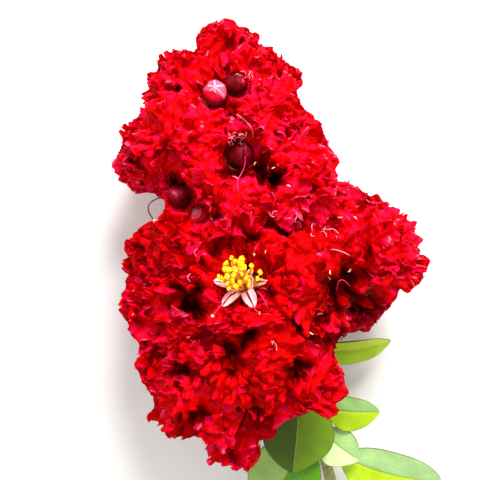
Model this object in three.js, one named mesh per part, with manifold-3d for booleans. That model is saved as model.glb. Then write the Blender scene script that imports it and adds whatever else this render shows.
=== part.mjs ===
// A cut flowering branch of crape myrtle, lying on a level surface.
// Millimetres. +Y runs up the panicle to its tip, +Z is up, and the surface is z = 0.
import * as THREE from 'three'
import { mergeVertices } from 'three/addons/utils/BufferGeometryUtils.js'
import Module from 'manifold-3d'

const wasm = await Module()
wasm.setup()

// Driving dimensions

// The box of the whole object is centred on the origin by this shift of the working frame.
const shift = { x: -14.7, y: -49.3 }

const clearance = 0.3
const mergeDistance = 1e-4
// Slivers are simplified away by the first of these sizes that leaves two faces on every edge.
const sliverSizes = [0.04, 0.03, 0.02, 0.012, 0.008, 0.004, 0.06, 0.08]
const weldDistance = 1e-3

const stem = {
  cutEnd: -50, tip: 130, footRadius: 2.3, tipRadius: 0.9, sides: 8, steps: 20,
  cutX: 38, tipX: -4, crestHeight: 43, riseStart: -42, riseLength: 105, sagStart: 55, sagLength: 70, sag: 9,
}

const branch = { rootRadius: 1.15, tipRadius: 0.75, sides: 6, steps: 6, reachIn: 0.45 }

// The thin stalk of a side bloom or a bud.
const stalk = { radius: 0.6, sides: 3, steps: 3, reachIn: 0.45, sunk: 1 }

// A cyme: the side blooms stand this far back from the end bloom and this far apart from it.
const cyme = { setBack: 9, spread: 21, stalksFrom: [0.5, 0.64, 0.78] }

// Each side branch leaves the stem at height "from", reaches out by "reach" in the direction "turn"
// (0 is +X, 90 is up) and climbs by "climb". Its side blooms are turned round its end by "fan".
const sideBranches = [
  { name: 'shoulder_left', from: 96, reach: 29, turn: 173, climb: 8, blooms: 3, fan: 95 },
  { name: 'shoulder_right', from: 91, reach: 18, turn: 9, climb: 14, blooms: 3, fan: 70 },
  { name: 'front_upper', from: 82, reach: 30, turn: 102, climb: 8, blooms: 2, fan: -80 },
  { name: 'arm', from: 68, reach: 42, turn: 1, climb: 2, blooms: 4, fan: 85 },
  { name: 'side_left', from: 61, reach: 37, turn: 180, climb: 11, blooms: 2, fan: -68 },
  { name: 'front_middle', from: 58, reach: 33, turn: 108, climb: 7, blooms: 3, fan: -86 },
  { name: 'side_low', from: 54, reach: 40, turn: 176, climb: -1, blooms: 1, fan: 0 },
  { name: 'front_low', from: 48.5, reach: 34, turn: 107, climb: -6, blooms: 2, fan: 84 },
  { name: 'low_right', from: 46.5, reach: 13, turn: 33, climb: 0, blooms: 1, fan: 0 },
  { name: 'low_left', from: 41, reach: 40, turn: 174, climb: -8, blooms: 3, fan: 242 },
  { name: 'front_foot', from: 44, reach: 22, turn: 79, climb: -11, blooms: 1, fan: 0 },
  { name: 'bottom', from: 38.5, reach: 20, turn: 149, climb: -23, blooms: 1, fan: 0 },
  { name: 'foot_left', from: 35, reach: 35, turn: -175, climb: -11, blooms: 1, fan: 0 },
  { name: 'back_middle', from: 72, reach: 32, turn: -99, climb: 5, blooms: 3, fan: 90 },
  { name: 'back_low', from: 51, reach: 34, turn: -115, climb: -5, blooms: 2, fan: 110 },
  { name: 'back_foot', from: 33, reach: 17, turn: -111, climb: -6, blooms: 1, fan: 0 },
]

// The stem ends in a whorl: one bloom at the tip and three set back from it.
const tipBlooms = [
  { x: -16, y: -10, z: 8 },
  { x: 13, y: -12, z: 9 },
  { x: 2, y: -17, z: -21 },
]
const whorl = { from: 115, step: 4 }

const bloom = { petals: 6, seedHeight: 6, axisLow: 36, axisHigh: 114, wallGap: 0.15, neighbourReach: 48 }

// The calyx profile gives each radius and height as a share of the calyx's radius and length.
const calyx = { length: 8, radius: 4.3, sides: 6, profile: [[0.55, -0.8], [0.92, -0.3], [1, 0]], dip: 0.6 }

// A petal: a thin claw that widens into a ruffled round blade. Angles are from the bloom's axis.
const petal = {
  clawStart: 5, clawSpread: 1, clawRadius: 1.2, clawCap: 0.2, reach: 9.5, openReach: 11, reachVaries: 2,
  radius: 9, radiusLeast: 0.86, radiusVaries: 0.28, narrowing: 0.45, slimness: 0.74,
  thickness: 0.7, cup: 1.2, rimPoints: 6, rimSpan: 4.6,
  ruffle: 2, ruffleLeast: 0.6, ruffleVaries: 0.8,
  crownPolar: 25, sidePolar: 62, openPolar: 84, aroundVaries: 0.4,
  facingAway: 0.75, facingAwayOpen: 0.1, facingAxis: 0.5, facingVaries: 0.3,
}

// The newest bloom lies wide open, tipped towards the panicle's tip, with its sepals and stamens bare.
const openBloom = {
  name: 'front_middle_1', tip: 0.5,
  stamenRadius: 6, stamenHeight: 5.5, stamenSides: 7,
  stamenProfile: [[0.45, 0.4], [1, 0.9], [0.7, 1.35]], stamenTop: 1.5,
  sepalStart: 3, sepalLength: 7, sepalRise: 1, sepalFootRadius: 1.9, sepalTipRadius: 0.4, sepalSides: 3,
}

// Unopened buds, each on a thin stalk from the stem.
const buds = [
  { from: 117, x: -8, y: 124.5, z: 47, radius: 3.8 },
  { from: 120, x: 0, y: 129, z: 46, radius: 4 },
  { from: 101, x: 0, y: 105, z: 57, radius: 4.8 },
  { from: 87, x: -20, y: 91, z: 56, radius: 4.5 },
  { from: 77, x: -13.5, y: 87, z: 60, radius: 3 },
]
const budProfile = [[0, -1], [0.75, -0.6], [1, 0.05], [0.7, 0.7], [0, 1.05]]
const bud = { sides: 6, reachIn: 0.3 }

// Leaves: where each leaves the stem, where its tip lies, its width and its roll about its length.
const leaves = [
  { name: 'leaf_front', from: 31, tip: [17, 0, 31], width: 24, roll: -8, arch: 2 },
  { name: 'leaf_lower_left', from: 14, tip: [8, -21, 16], width: 25, roll: 12, arch: 3 },
  { name: 'leaf_lower_middle', from: 12, tip: [39, 5, 24], width: 13, roll: 25, arch: 2 },
  { name: 'leaf_lower_right', from: 2, tip: [69, -7, 14], width: 22, roll: 20, arch: 4 },
  { name: 'leaf_right', from: 20, tip: [45, 22, 30], width: 10, roll: 30, arch: 1 },
  { name: 'leaf_arm', from: 31, tip: [53, 41, 19], width: 18, roll: 15, arch: 3 },
]
const leaf = {
  stations: 7, thickness: 0.6, fold: 0.12, leastWidth: 0.04, widestShift: 0.85, roundness: 0.75,
  petioleLength: 6, petioleRadius: 0.7, petioleSides: 4, petioleSunk: 2,
}

const petalLook = { color: 0xc80410, roughness: 0.6, metalness: 0 }
const woodLook = { color: 0x7a5a35, roughness: 0.7, metalness: 0 }
const leafLook = { color: 0x5f8f1c, roughness: 0.45, metalness: 0 }

// Small helpers

const Y = new THREE.Vector3(0, 1, 0)
const radians = THREE.MathUtils.degToRad

// A repeatable number from 0 to 1 for a bloom, a petal and a use.
function hash(bloomIndex, petalIndex, use) {
  const wave = Math.sin(bloomIndex * 12.9898 + petalIndex * 78.233 + use * 37.719) * 43758.5453
  return wave - Math.floor(wave)
}

function smooth(t) {
  const clamped = Math.min(Math.max(t, 0), 1)
  return clamped * clamped * (3 - 2 * clamped)
}

function stemAt(y) {
  const across = 1 - smooth((y - stem.cutEnd) / (stem.tip - stem.cutEnd))
  const rise = smooth((y - stem.riseStart) / stem.riseLength)
  const sag = smooth((y - stem.sagStart) / stem.sagLength)
  return new THREE.Vector3(
    stem.tipX + (stem.cutX - stem.tipX) * across,
    y,
    stem.footRadius + (stem.crestHeight - stem.footRadius) * rise - stem.sag * sag,
  )
}

// The unit vector of "direction" with its part along "axis" taken out.
function acrossFrom(direction, axis) {
  return direction.clone().addScaledVector(axis, -direction.dot(axis)).normalize()
}

// Solids

function solidOf(geometry) {
  geometry.deleteAttribute('normal')
  geometry.deleteAttribute('uv')
  const merged = mergeVertices(geometry, mergeDistance)
  return new wasm.Manifold(new wasm.Mesh({
    numProp: 3,
    vertProperties: new Float32Array(merged.attributes.position.array),
    triVerts: new Uint32Array(merged.index.array),
  }))
}

function geometryOf(solid) {
  const mesh = solid.getMesh()
  const geometry = new THREE.BufferGeometry()
  geometry.setAttribute('position', new THREE.BufferAttribute(mesh.vertProperties, 3))
  geometry.setIndex(new THREE.BufferAttribute(mesh.triVerts, 1))
  geometry.computeVertexNormals()
  return geometry
}

// The largest body of a solid, without the scraps that a cut leaves.
function largestOf(solid) {
  let best = null
  for (const body of solid.decompose()) {
    if (best === null || body.volume() > best.volume()) best = body
  }
  return best
}

// A limb: a cylinder bent along a curve, with its radius set along its length.
function limb(curve, startRadius, endRadius, sides, steps, grow = 0) {
  const geometry = new THREE.CylinderGeometry(1, 1, 1, sides, steps)
  const frames = curve.computeFrenetFrames(steps)
  const centres = curve.getSpacedPoints(steps)
  const position = geometry.attributes.position
  for (let i = 0; i < position.count; i++) {
    const t = position.getY(i) + 0.5
    const ring = Math.round(t * steps)
    const radius = THREE.MathUtils.lerp(startRadius, endRadius, t) + grow
    const point = centres[ring].clone()
    point.addScaledVector(frames.normals[ring], position.getX(i) * radius)
    point.addScaledVector(frames.binormals[ring], -position.getZ(i) * radius)
    position.setXYZ(i, point.x, point.y, point.z)
  }
  return solidOf(geometry)
}

// A closed leaf shape: two fans of triangles on the same rim, one on each side.
function lens(rim, inner, outer) {
  const geometry = new THREE.BufferGeometry().setFromPoints([...rim, inner, outer])
  const innerIndex = rim.length
  const outerIndex = rim.length + 1
  const triangles = []
  rim.forEach((point, j) => {
    const next = (j + 1) % rim.length
    triangles.push(j, next, outerIndex, next, j, innerIndex)
  })
  geometry.setIndex(triangles)
  return solidOf(geometry)
}

// A closed lathe whose axis starts at "base" and runs along "axis".
function turned(profile, sides, base, axis) {
  const points = profile.map(([radius, height]) => new THREE.Vector2(radius, height))
  const geometry = new THREE.LatheGeometry(points, sides)
  geometry.applyQuaternion(new THREE.Quaternion().setFromUnitVectors(Y, axis))
  geometry.translate(base.x, base.y, base.z)
  return solidOf(geometry)
}

// Places

// The curve of the stem from its cut end to its tip.
class StemCurve extends THREE.Curve {
  getPoint(t) {
    return stemAt(THREE.MathUtils.lerp(stem.cutEnd, stem.tip, t))
  }
}
const stemCurve = new StemCurve()

// A bloom's calyx rim is at "rim" and it faces along "axis", away from the stem.
function bloomAt(name, rim, limbPoint, facing = null) {
  const anchor = stemAt(THREE.MathUtils.clamp(rim.y, bloom.axisLow, bloom.axisHigh))
  const axis = facing ?? rim.clone().sub(anchor).normalize()
  const open = name === openBloom.name
  if (open) axis.addScaledVector(Y, openBloom.tip).normalize()
  const base = rim.clone().addScaledVector(axis, -calyx.length)
  const seed = rim.clone().addScaledVector(axis, bloom.seedHeight)
  return { name, rim, axis, base, seed, open, limbPoint }
}

function branchDirection(side) {
  return new THREE.Vector3(Math.cos(radians(side.turn)), 0, Math.sin(radians(side.turn)))
}

// A curve that leaves "start" and comes in along "axis" to "end".
function stalkCurve(start, end, axis, reachIn) {
  const bend = end.clone().addScaledVector(axis, -start.distanceTo(end) * reachIn)
  return new THREE.QuadraticBezierCurve3(start, bend, end)
}

const blooms = []
const branchCurves = {}

function placeTip() {
  const tipAxis = stemCurve.getTangent(1)
  const rim = stemAt(stem.tip).addScaledVector(tipAxis, calyx.length + clearance)
  blooms.push(bloomAt('tip_1', rim, null, tipAxis))
  tipBlooms.forEach((offset, k) => {
    const place = rim.clone().add(new THREE.Vector3(offset.x, offset.y, offset.z))
    blooms.push(bloomAt(`tip_${k + 2}`, place, stemAt(whorl.from - whorl.step * k)))
  })
}

function placeSideBranch(side) {
  const out = branchDirection(side)
  const across = new THREE.Vector3().crossVectors(out, Y)
  const root = stemAt(side.from)
  const end = root.clone().addScaledVector(out, side.reach).addScaledVector(Y, side.climb)
  const first = bloomAt(`${side.name}_1`, end, null)
  const tip = first.base.clone().addScaledVector(first.axis, -clearance)
  const curve = stalkCurve(root, tip, first.axis, branch.reachIn)
  branchCurves[side.name] = curve
  blooms.push(first)
  for (let k = 1; k < side.blooms; k++) {
    const angle = radians(side.fan) + (2 * Math.PI * (k - 1)) / Math.max(side.blooms - 1, 2)
    const rim = end.clone().addScaledVector(out, -cyme.setBack)
    rim.addScaledVector(Y, cyme.spread * Math.cos(angle))
    rim.addScaledVector(across, cyme.spread * Math.sin(angle))
    const joint = curve.getPoint(cyme.stalksFrom[k - 1])
    blooms.push(bloomAt(`${side.name}_${k + 1}`, rim, joint))
  }
}

placeTip()
sideBranches.forEach(placeSideBranch)

// Limbs

function stalkSolid(curve, grow) {
  return limb(curve, stalk.radius, stalk.radius, stalk.sides, stalk.steps, grow)
}

function budSolid(place, grow = 0) {
  const start = stemAt(place.from)
  const centre = new THREE.Vector3(place.x, place.y, place.z)
  const axis = centre.clone().sub(start).normalize()
  const size = place.radius + grow
  const head = turned(budProfile.map(([r, h]) => [r * size, h * size]), bud.sides, centre, axis)
  return head.add(stalkSolid(stalkCurve(start, centre, axis, bud.reachIn), grow))
}

function stemCore(grow = 0) {
  return limb(stemCurve, stem.footRadius, stem.tipRadius, stem.sides, stem.steps, grow)
}

function branchCore(name, grow = 0) {
  return limb(branchCurves[name], branch.rootRadius, branch.tipRadius, branch.sides, branch.steps, grow)
}

// Blooms

function calyxSolid(flower, grow) {
  const length = calyx.length + grow
  const radius = calyx.radius + grow
  const wall = calyx.profile.map(([r, h]) => [r * radius, h * length])
  return turned([[0, -length], ...wall, [0, -calyx.dip]], calyx.sides, flower.rim, flower.axis)
}

function bloomStalk(flower, grow) {
  const end = flower.base.clone().addScaledVector(flower.axis, stalk.sunk)
  return stalkSolid(stalkCurve(flower.limbPoint, end, flower.axis, stalk.reachIn), grow)
}

// The calyx and its stalk, which nothing else may enter.
function heartSolid(flower, grow = 0) {
  const cup = calyxSolid(flower, grow)
  return flower.limbPoint ? cup.add(bloomStalk(flower, grow)) : cup
}

// The two directions across a bloom's axis.
function sidesOf(flower) {
  const side = acrossFrom(Y, flower.axis)
  return [side, new THREE.Vector3().crossVectors(flower.axis, side)]
}

// Where petal "k" leads: one stands up at the crown of a closed-in bloom and the rest stand round it.
function petalDirection(flower, bloomIndex, k, spin) {
  const [side, other] = sidesOf(flower)
  const atCrown = k === 0 && !flower.open
  const sidePolar = flower.open ? petal.openPolar : petal.sidePolar
  const polar = radians(atCrown ? petal.crownPolar : sidePolar)
  const count = flower.open ? bloom.petals : bloom.petals - 1
  const around = spin + (2 * Math.PI * k) / count + petal.aroundVaries * (hash(bloomIndex, k, 1) - 0.5)
  const away = flower.axis.clone().multiplyScalar(Math.cos(polar))
  away.addScaledVector(side, Math.sin(polar) * Math.cos(around))
  return away.addScaledVector(other, Math.sin(polar) * Math.sin(around))
}

// The way that a petal's blade looks.
function petalFacing(flower, bloomIndex, k, away) {
  const [side, other] = sidesOf(flower)
  const facing = away.clone().multiplyScalar(flower.open ? petal.facingAwayOpen : petal.facingAway)
  facing.addScaledVector(flower.axis, petal.facingAxis)
  facing.addScaledVector(side, petal.facingVaries * (hash(bloomIndex, k, 3) - 0.5))
  return facing.addScaledVector(other, petal.facingVaries * (hash(bloomIndex, k, 4) - 0.5)).normalize()
}

// The claw is a thin spike that widens from its foot in the calyx to the blade.
function clawSolid(foot, bladePoint) {
  const along = bladePoint.clone().sub(foot).normalize()
  const side = acrossFrom(Math.abs(along.y) < 0.9 ? Y : new THREE.Vector3(1, 0, 0), along)
  const other = new THREE.Vector3().crossVectors(along, side)
  const rim = [0, 1, 2].map((j) => {
    const angle = (2 * Math.PI * j) / 3
    const point = bladePoint.clone().addScaledVector(side, petal.clawRadius * Math.cos(angle))
    return point.addScaledVector(other, petal.clawRadius * Math.sin(angle))
  })
  return lens(rim, foot, bladePoint.clone().addScaledVector(along, petal.clawCap))
}

// The blade is a thin lens with a ruffled rim.
function petalSolid(flower, bloomIndex, k, spin) {
  const away = petalDirection(flower, bloomIndex, k, spin)
  const facing = petalFacing(flower, bloomIndex, k, away)
  const outward = acrossFrom(away, facing)
  const crosswise = new THREE.Vector3().crossVectors(facing, outward)
  const baseReach = flower.open ? petal.openReach : petal.reach
  const reach = baseReach + petal.reachVaries * (hash(bloomIndex, k, 2) - 0.5)
  const centre = flower.rim.clone().addScaledVector(away, reach)
  const clawFoot = flower.rim.clone().addScaledVector(flower.axis, -petal.clawStart)
  clawFoot.addScaledVector(acrossFrom(away, flower.axis), petal.clawSpread)
  const rim = []
  for (let j = 0; j < petal.rimPoints; j++) {
    const angle = petal.rimSpan * (j / (petal.rimPoints - 1) - 0.5)
    const narrowing = 1 - petal.narrowing * Math.pow(Math.abs(2 * angle) / petal.rimSpan, 4)
    const size = petal.radiusLeast + petal.radiusVaries * hash(bloomIndex, k, 10 + j)
    const radius = petal.radius * narrowing * size
    const height = petal.ruffleLeast + petal.ruffleVaries * hash(bloomIndex, k, 20 + j)
    const point = centre.clone()
    point.addScaledVector(outward, radius * Math.cos(angle))
    point.addScaledVector(crosswise, petal.slimness * radius * Math.sin(angle))
    point.addScaledVector(facing, petal.ruffle * height * (j % 2 === 0 ? 1 : -1))
    rim.push(point)
  }
  const inner = centre.clone().addScaledVector(facing, -petal.cup - petal.thickness)
  const outer = centre.clone().addScaledVector(facing, -petal.cup + petal.thickness)
  const middle = inner.clone().lerp(outer, 0.5)
  return lens(rim, inner, outer).add(clawSolid(clawFoot, middle))
}

// The bare stamens of the open bloom, as one low dome, and its pointed sepals.
function openHeart(flower) {
  const radius = openBloom.stamenRadius
  const height = openBloom.stamenHeight
  const wall = openBloom.stamenProfile.map(([r, h]) => [r * radius, h * height])
  const top = openBloom.stamenTop * height
  let solid = turned([[0, -1], ...wall, [0, top]], openBloom.stamenSides, flower.rim, flower.axis)
  const [side, other] = sidesOf(flower)
  for (let k = 0; k < bloom.petals; k++) {
    const around = (2 * Math.PI * (k + 0.5)) / bloom.petals
    const out = side.clone().multiplyScalar(Math.cos(around)).addScaledVector(other, Math.sin(around))
    const start = flower.rim.clone().addScaledVector(flower.axis, -openBloom.sepalStart)
    const end = start.clone().addScaledVector(out, openBloom.sepalLength + calyx.radius)
    end.addScaledVector(flower.axis, openBloom.sepalRise)
    const line = new THREE.LineCurve3(start, end)
    const sepal = limb(line, openBloom.sepalFootRadius, openBloom.sepalTipRadius, openBloom.sepalSides, 1)
    solid = solid.add(sepal)
  }
  return solid
}

// Each bloom keeps to the space that lies nearer to it than to any other bloom, and above the surface.
function trimToSpace(solid, flower) {
  let kept = solid.trimByPlane([0, 0, 1], 0)
  for (const neighbour of blooms) {
    if (neighbour === flower) continue
    const away = neighbour.seed.clone().sub(flower.seed)
    const distance = away.length()
    if (distance > bloom.neighbourReach) continue
    away.normalize()
    const wall = flower.seed.dot(away) + distance / 2 - bloom.wallGap
    kept = kept.trimByPlane([-away.x, -away.y, -away.z], -wall)
  }
  return kept
}

function bloomSolid(flower, bloomIndex, obstacles) {
  const spin = 2 * Math.PI * hash(bloomIndex, 0, 7)
  let petals = petalSolid(flower, bloomIndex, 0, spin)
  for (let k = 1; k < bloom.petals; k++) petals = petals.add(petalSolid(flower, bloomIndex, k, spin))
  if (flower.open) petals = petals.add(openHeart(flower))
  petals = trimToSpace(petals, flower)
  for (const obstacle of obstacles) petals = petals.subtract(obstacle)
  return petals
}

// Leaves

// A leaf: a box whose stations follow the outline, folded along its midrib and arched, on a short petiole.
function leafSolid(sheet, grow = 0) {
  const root = stemAt(sheet.from)
  const tip = new THREE.Vector3(...sheet.tip)
  const along = tip.clone().sub(root).normalize()
  const base = root.clone().addScaledVector(along, leaf.petioleLength)
  const length = base.distanceTo(tip)
  const flat = acrossFrom(new THREE.Vector3(0, 0, 1), along).applyAxisAngle(along, radians(sheet.roll))
  const across = new THREE.Vector3().crossVectors(flat, along)
  const geometry = new THREE.BoxGeometry(1, 2, leaf.thickness + 2 * grow, leaf.stations, 2, 1)
  const position = geometry.attributes.position
  for (let i = 0; i < position.count; i++) {
    const u = position.getX(i) + 0.5
    const bulge = Math.pow(Math.sin(Math.PI * Math.pow(u, leaf.widestShift)), leaf.roundness)
    const half = 0.5 * sheet.width * Math.max(leaf.leastWidth, bulge) + grow
    const v = position.getY(i)
    const lift = leaf.fold * sheet.width * Math.abs(v) * Math.sin(Math.PI * u) + sheet.arch * 4 * u * (1 - u)
    const point = base.clone().addScaledVector(along, u * length + grow * (2 * u - 1))
    point.addScaledVector(across, v * half)
    point.addScaledVector(flat, position.getZ(i) + lift)
    position.setXYZ(i, point.x, point.y, point.z)
  }
  const line = new THREE.LineCurve3(root, base.clone().addScaledVector(along, leaf.petioleSunk))
  const petiole = limb(line, leaf.petioleRadius, leaf.petioleRadius, leaf.petioleSides, 1, grow)
  return solidOf(geometry).add(petiole)
}

// The whole

const group = new THREE.Group()
group.position.set(shift.x, shift.y, 0)

// Whether every edge still has exactly two faces once vertices that all but touch are welded.
function isClosed(geometry) {
  const bare = new THREE.BufferGeometry()
  bare.setAttribute('position', geometry.attributes.position.clone())
  bare.setIndex(geometry.index.clone())
  const index = mergeVertices(bare, weldDistance).index.array
  const faces = new Map()
  for (let i = 0; i < index.length; i += 3) {
    const corners = [...index.slice(i, i + 3)].sort((a, b) => a - b)
    if (new Set(corners).size < 3) continue
    for (const [a, b] of [[0, 1], [1, 2], [0, 2]]) {
      const key = `${corners[a]} ${corners[b]}`
      faces.set(key, (faces.get(key) ?? 0) + 1)
    }
  }
  return [...faces.values()].every((count) => count === 2)
}

function plainGeometryOf(solid) {
  const body = largestOf(solid).asOriginal()
  for (const size of sliverSizes) {
    const geometry = geometryOf(largestOf(body.simplify(size)))
    if (isClosed(geometry)) return geometry
  }
  return geometryOf(body)
}

function addMesh(name, solid, look) {
  const mesh = new THREE.Mesh(plainGeometryOf(solid), new THREE.MeshStandardMaterial(look))
  mesh.name = name
  group.add(mesh)
}

const grownStem = stemCore(clearance)
const grownBranches = sideBranches.map((side) => branchCore(side.name, clearance))
const grownBuds = buds.map((place) => budSolid(place, clearance))
const grownHearts = blooms.map((flower) => heartSolid(flower, clearance))
const grownLeaves = leaves.map((sheet) => leafSolid(sheet, clearance))

function addStem() {
  let solid = stemCore()
  for (const place of buds) solid = solid.add(budSolid(place))
  addMesh('stem', solid, woodLook)
}

function addBranch(side) {
  addMesh(`branch_${side.name}`, branchCore(side.name).subtract(grownStem), woodLook)
}

function addBloom(flower, index) {
  const otherHearts = grownHearts.filter((solid, i) => i !== index)
  const obstacles = [grownStem, ...grownBranches, ...grownBuds, ...grownLeaves, ...otherHearts]
  const ownHeart = heartSolid(flower).subtract(grownStem)
  let solid = bloomSolid(flower, index, obstacles).add(ownHeart)
  for (const grown of grownBranches) solid = solid.subtract(grown)
  addMesh(`bloom_${flower.name}`, solid, petalLook)
}

function addLeaf(sheet) {
  addMesh(sheet.name, leafSolid(sheet).subtract(grownStem), leafLook)
}

addStem()
sideBranches.forEach(addBranch)
blooms.forEach(addBloom)
leaves.forEach(addLeaf)

export default group
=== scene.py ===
import math

import bmesh
import bpy
import numpy as np
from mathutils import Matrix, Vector


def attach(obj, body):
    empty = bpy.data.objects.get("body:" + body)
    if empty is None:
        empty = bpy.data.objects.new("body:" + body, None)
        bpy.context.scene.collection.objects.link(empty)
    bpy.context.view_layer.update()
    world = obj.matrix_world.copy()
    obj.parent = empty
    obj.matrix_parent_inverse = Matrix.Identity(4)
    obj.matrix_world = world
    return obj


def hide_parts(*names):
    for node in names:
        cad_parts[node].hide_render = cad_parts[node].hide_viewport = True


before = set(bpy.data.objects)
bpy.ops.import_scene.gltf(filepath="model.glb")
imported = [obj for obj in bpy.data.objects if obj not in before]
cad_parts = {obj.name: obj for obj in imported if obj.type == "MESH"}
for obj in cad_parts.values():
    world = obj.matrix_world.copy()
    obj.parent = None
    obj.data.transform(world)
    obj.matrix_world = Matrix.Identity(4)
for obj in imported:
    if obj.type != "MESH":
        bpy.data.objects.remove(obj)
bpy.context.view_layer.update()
print("frame loaded")

plantShift = np.array([-14.7, -49.3, 0.0])
millimetre = 0.001
up = np.array([0.0, 0.0, 1.0])
climb = np.array([0.0, 1.0, 0.0])
fullTurn = 2 * math.pi


# shader tools

class Wire:
    # a socket that takes part in Python expressions
    def __init__(self, tree, socket=None):
        self.tree = tree
        self.socket = socket

    def make(self, kind, settings, inputs, output=0):
        node = self.tree.nodes.new(kind)
        for name, value in settings.items():
            setattr(node, name, value)
        for name, value in inputs.items():
            if isinstance(value, Wire):
                self.tree.links.new(value.socket, node.inputs[name])
            else:
                node.inputs[name].default_value = value
        return Wire(self.tree, node.outputs[output] if len(node.outputs) else None)

    def maths(self, operation, *values):
        return self.make("ShaderNodeMath", {"operation": operation}, dict(enumerate(values)))

    def __add__(self, other):
        return self.maths("ADD", self, other)

    def __radd__(self, other):
        return self.maths("ADD", other, self)

    def __sub__(self, other):
        return self.maths("SUBTRACT", self, other)

    def __rsub__(self, other):
        return self.maths("SUBTRACT", other, self)

    def __mul__(self, other):
        return self.maths("MULTIPLY", self, other)

    def __rmul__(self, other):
        return self.maths("MULTIPLY", other, self)

    def __abs__(self):
        return self.maths("ABSOLUTE", self)

    def over(self, low, high):
        # 0 below low, 1 above high
        return self.make("ShaderNodeMapRange", {"clamp": True},
                         {"Value": self, "From Min": low, "From Max": high})

    def blend(self, colourA, colourB):
        return self.make("ShaderNodeMix", {"data_type": "RGBA"},
                         {0: self, 6: colourA, 7: colourB}, output=2)

    def noise(self, vector, scale, detail=3.0, roughness=0.55):
        return self.make("ShaderNodeTexNoise", {}, {"Vector": vector, "Scale": scale,
                         "Detail": detail, "Roughness": roughness}, output="Fac")

    def stretched(self, vector, scale):
        return self.make("ShaderNodeMapping", {}, {"Vector": vector, "Scale": scale})

    def bump(self, height, strength, distance):
        return self.make("ShaderNodeBump", {}, {"Height": height, "Strength": strength,
                         "Distance": distance})

    def body(self, paint, roughness, shine, **links):
        return self.make("ShaderNodeBsdfPrincipled", {}, {"Base Color": paint, "Roughness": roughness,
                         "Specular IOR Level": shine, **links})


def startMaterial(name):
    material = bpy.data.materials.new(name)
    material.use_nodes = True
    material.node_tree.nodes.clear()
    wire = Wire(material.node_tree)
    return material, wire, wire.make("ShaderNodeTexCoord", {}, {}, "Object")


def finishMaterial(material, body, glow=None, share=0.0):
    # thin sheets let a share of the light through
    if glow is not None:
        body = body.make("ShaderNodeMixShader", {}, {0: share, 1: body, 2: glow})
    body.make("ShaderNodeOutputMaterial", {}, {"Surface": body})
    return material


def rgba(colour, share=1.0):
    return (*(min(c * share, 1.0) for c in colour), 1.0)


# mesh tools

def unit(vector):
    vector = np.asarray(vector, float)
    return vector / np.linalg.norm(vector)


def acrossFrom(direction, axis):
    return unit(direction - axis * np.dot(direction, axis))


def sideOf(axis):
    # some direction across the axis
    return acrossFrom(climb if abs(axis[1]) < 0.9 else up, axis)


def turnsOf(count):
    return np.linspace(0, fullTurn, count, endpoint=False)


def stood(points, spot, side, other, axis):
    # a template's points, stood on a spot by three directions
    return spot + points[:, 0:1] * side + points[:, 1:2] * other + points[:, 2:3] * axis


def onCurve(start, bend, end, t):
    return (1 - t) ** 2 * start + 2 * t * (1 - t) * bend + t ** 2 * end


def bezier(start, bend, end, steps):
    return onCurve(start, bend, end, np.linspace(0, 1, steps)[:, None])


def templateOf(bm):
    bm.verts.ensure_lookup_table()
    points = np.array([vert.co for vert in bm.verts])
    faces = [[vert.index for vert in face.verts] for face in bm.faces]
    bm.free()
    return points, faces


def gridTemplate(columns, rows):
    # how far across each point is, from -1 to 1, how far along, from 0 to 1, and the faces
    bm = bmesh.new()
    bmesh.ops.create_grid(bm, x_segments=columns, y_segments=rows, size=1.0)
    points, faces = templateOf(bm)
    return points[:, 0], (points[:, 1] + 1) / 2, faces


def loft(rings):
    # a closed body: a circle extruded from ring to ring, with a cap at each end
    bm = bmesh.new()
    corners = bmesh.ops.create_circle(bm, segments=len(rings[0]), radius=1.0)["verts"]
    edges = list(bm.edges)
    bmesh.ops.contextual_create(bm, geom=edges)
    for row, ring in enumerate(rings):
        if row:
            made = bmesh.ops.extrude_edge_only(bm, edges=edges)["geom"]
            corners = [part for part in made if isinstance(part, bmesh.types.BMVert)]
            edges = [part for part in made if isinstance(part, bmesh.types.BMEdge)]
        for corner, spot in zip(corners, ring):
            corner.co = spot
    bmesh.ops.contextual_create(bm, geom=edges)
    bmesh.ops.recalc_face_normals(bm, faces=bm.faces)
    bmesh.ops.triangulate(bm, faces=[face for face in bm.faces if len(face.verts) > 4])
    return templateOf(bm)


def tube(points, radii, sides, relief=None):
    # a limb along the points; relief is a factor on the radius at each corner
    points = np.asarray(points)
    tangents = np.gradient(points, axis=0)
    tangents /= np.linalg.norm(tangents, axis=1)[:, None]
    side = sideOf(tangents[0])
    turns = turnsOf(sides)[:, None]
    rings = []
    for row, (point, tangent) in enumerate(zip(points, tangents)):
        side = acrossFrom(side, tangent)
        other = np.cross(tangent, side)
        radius = radii[row] * (relief[row] if relief is not None else np.ones(sides))
        rings.append(point + radius[:, None] * (np.cos(turns) * side + np.sin(turns) * other))
    return loft(rings)


def addObject(name, data):
    added = bpy.data.objects.new(name, data)
    bpy.context.scene.collection.objects.link(added)
    return added


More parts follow.
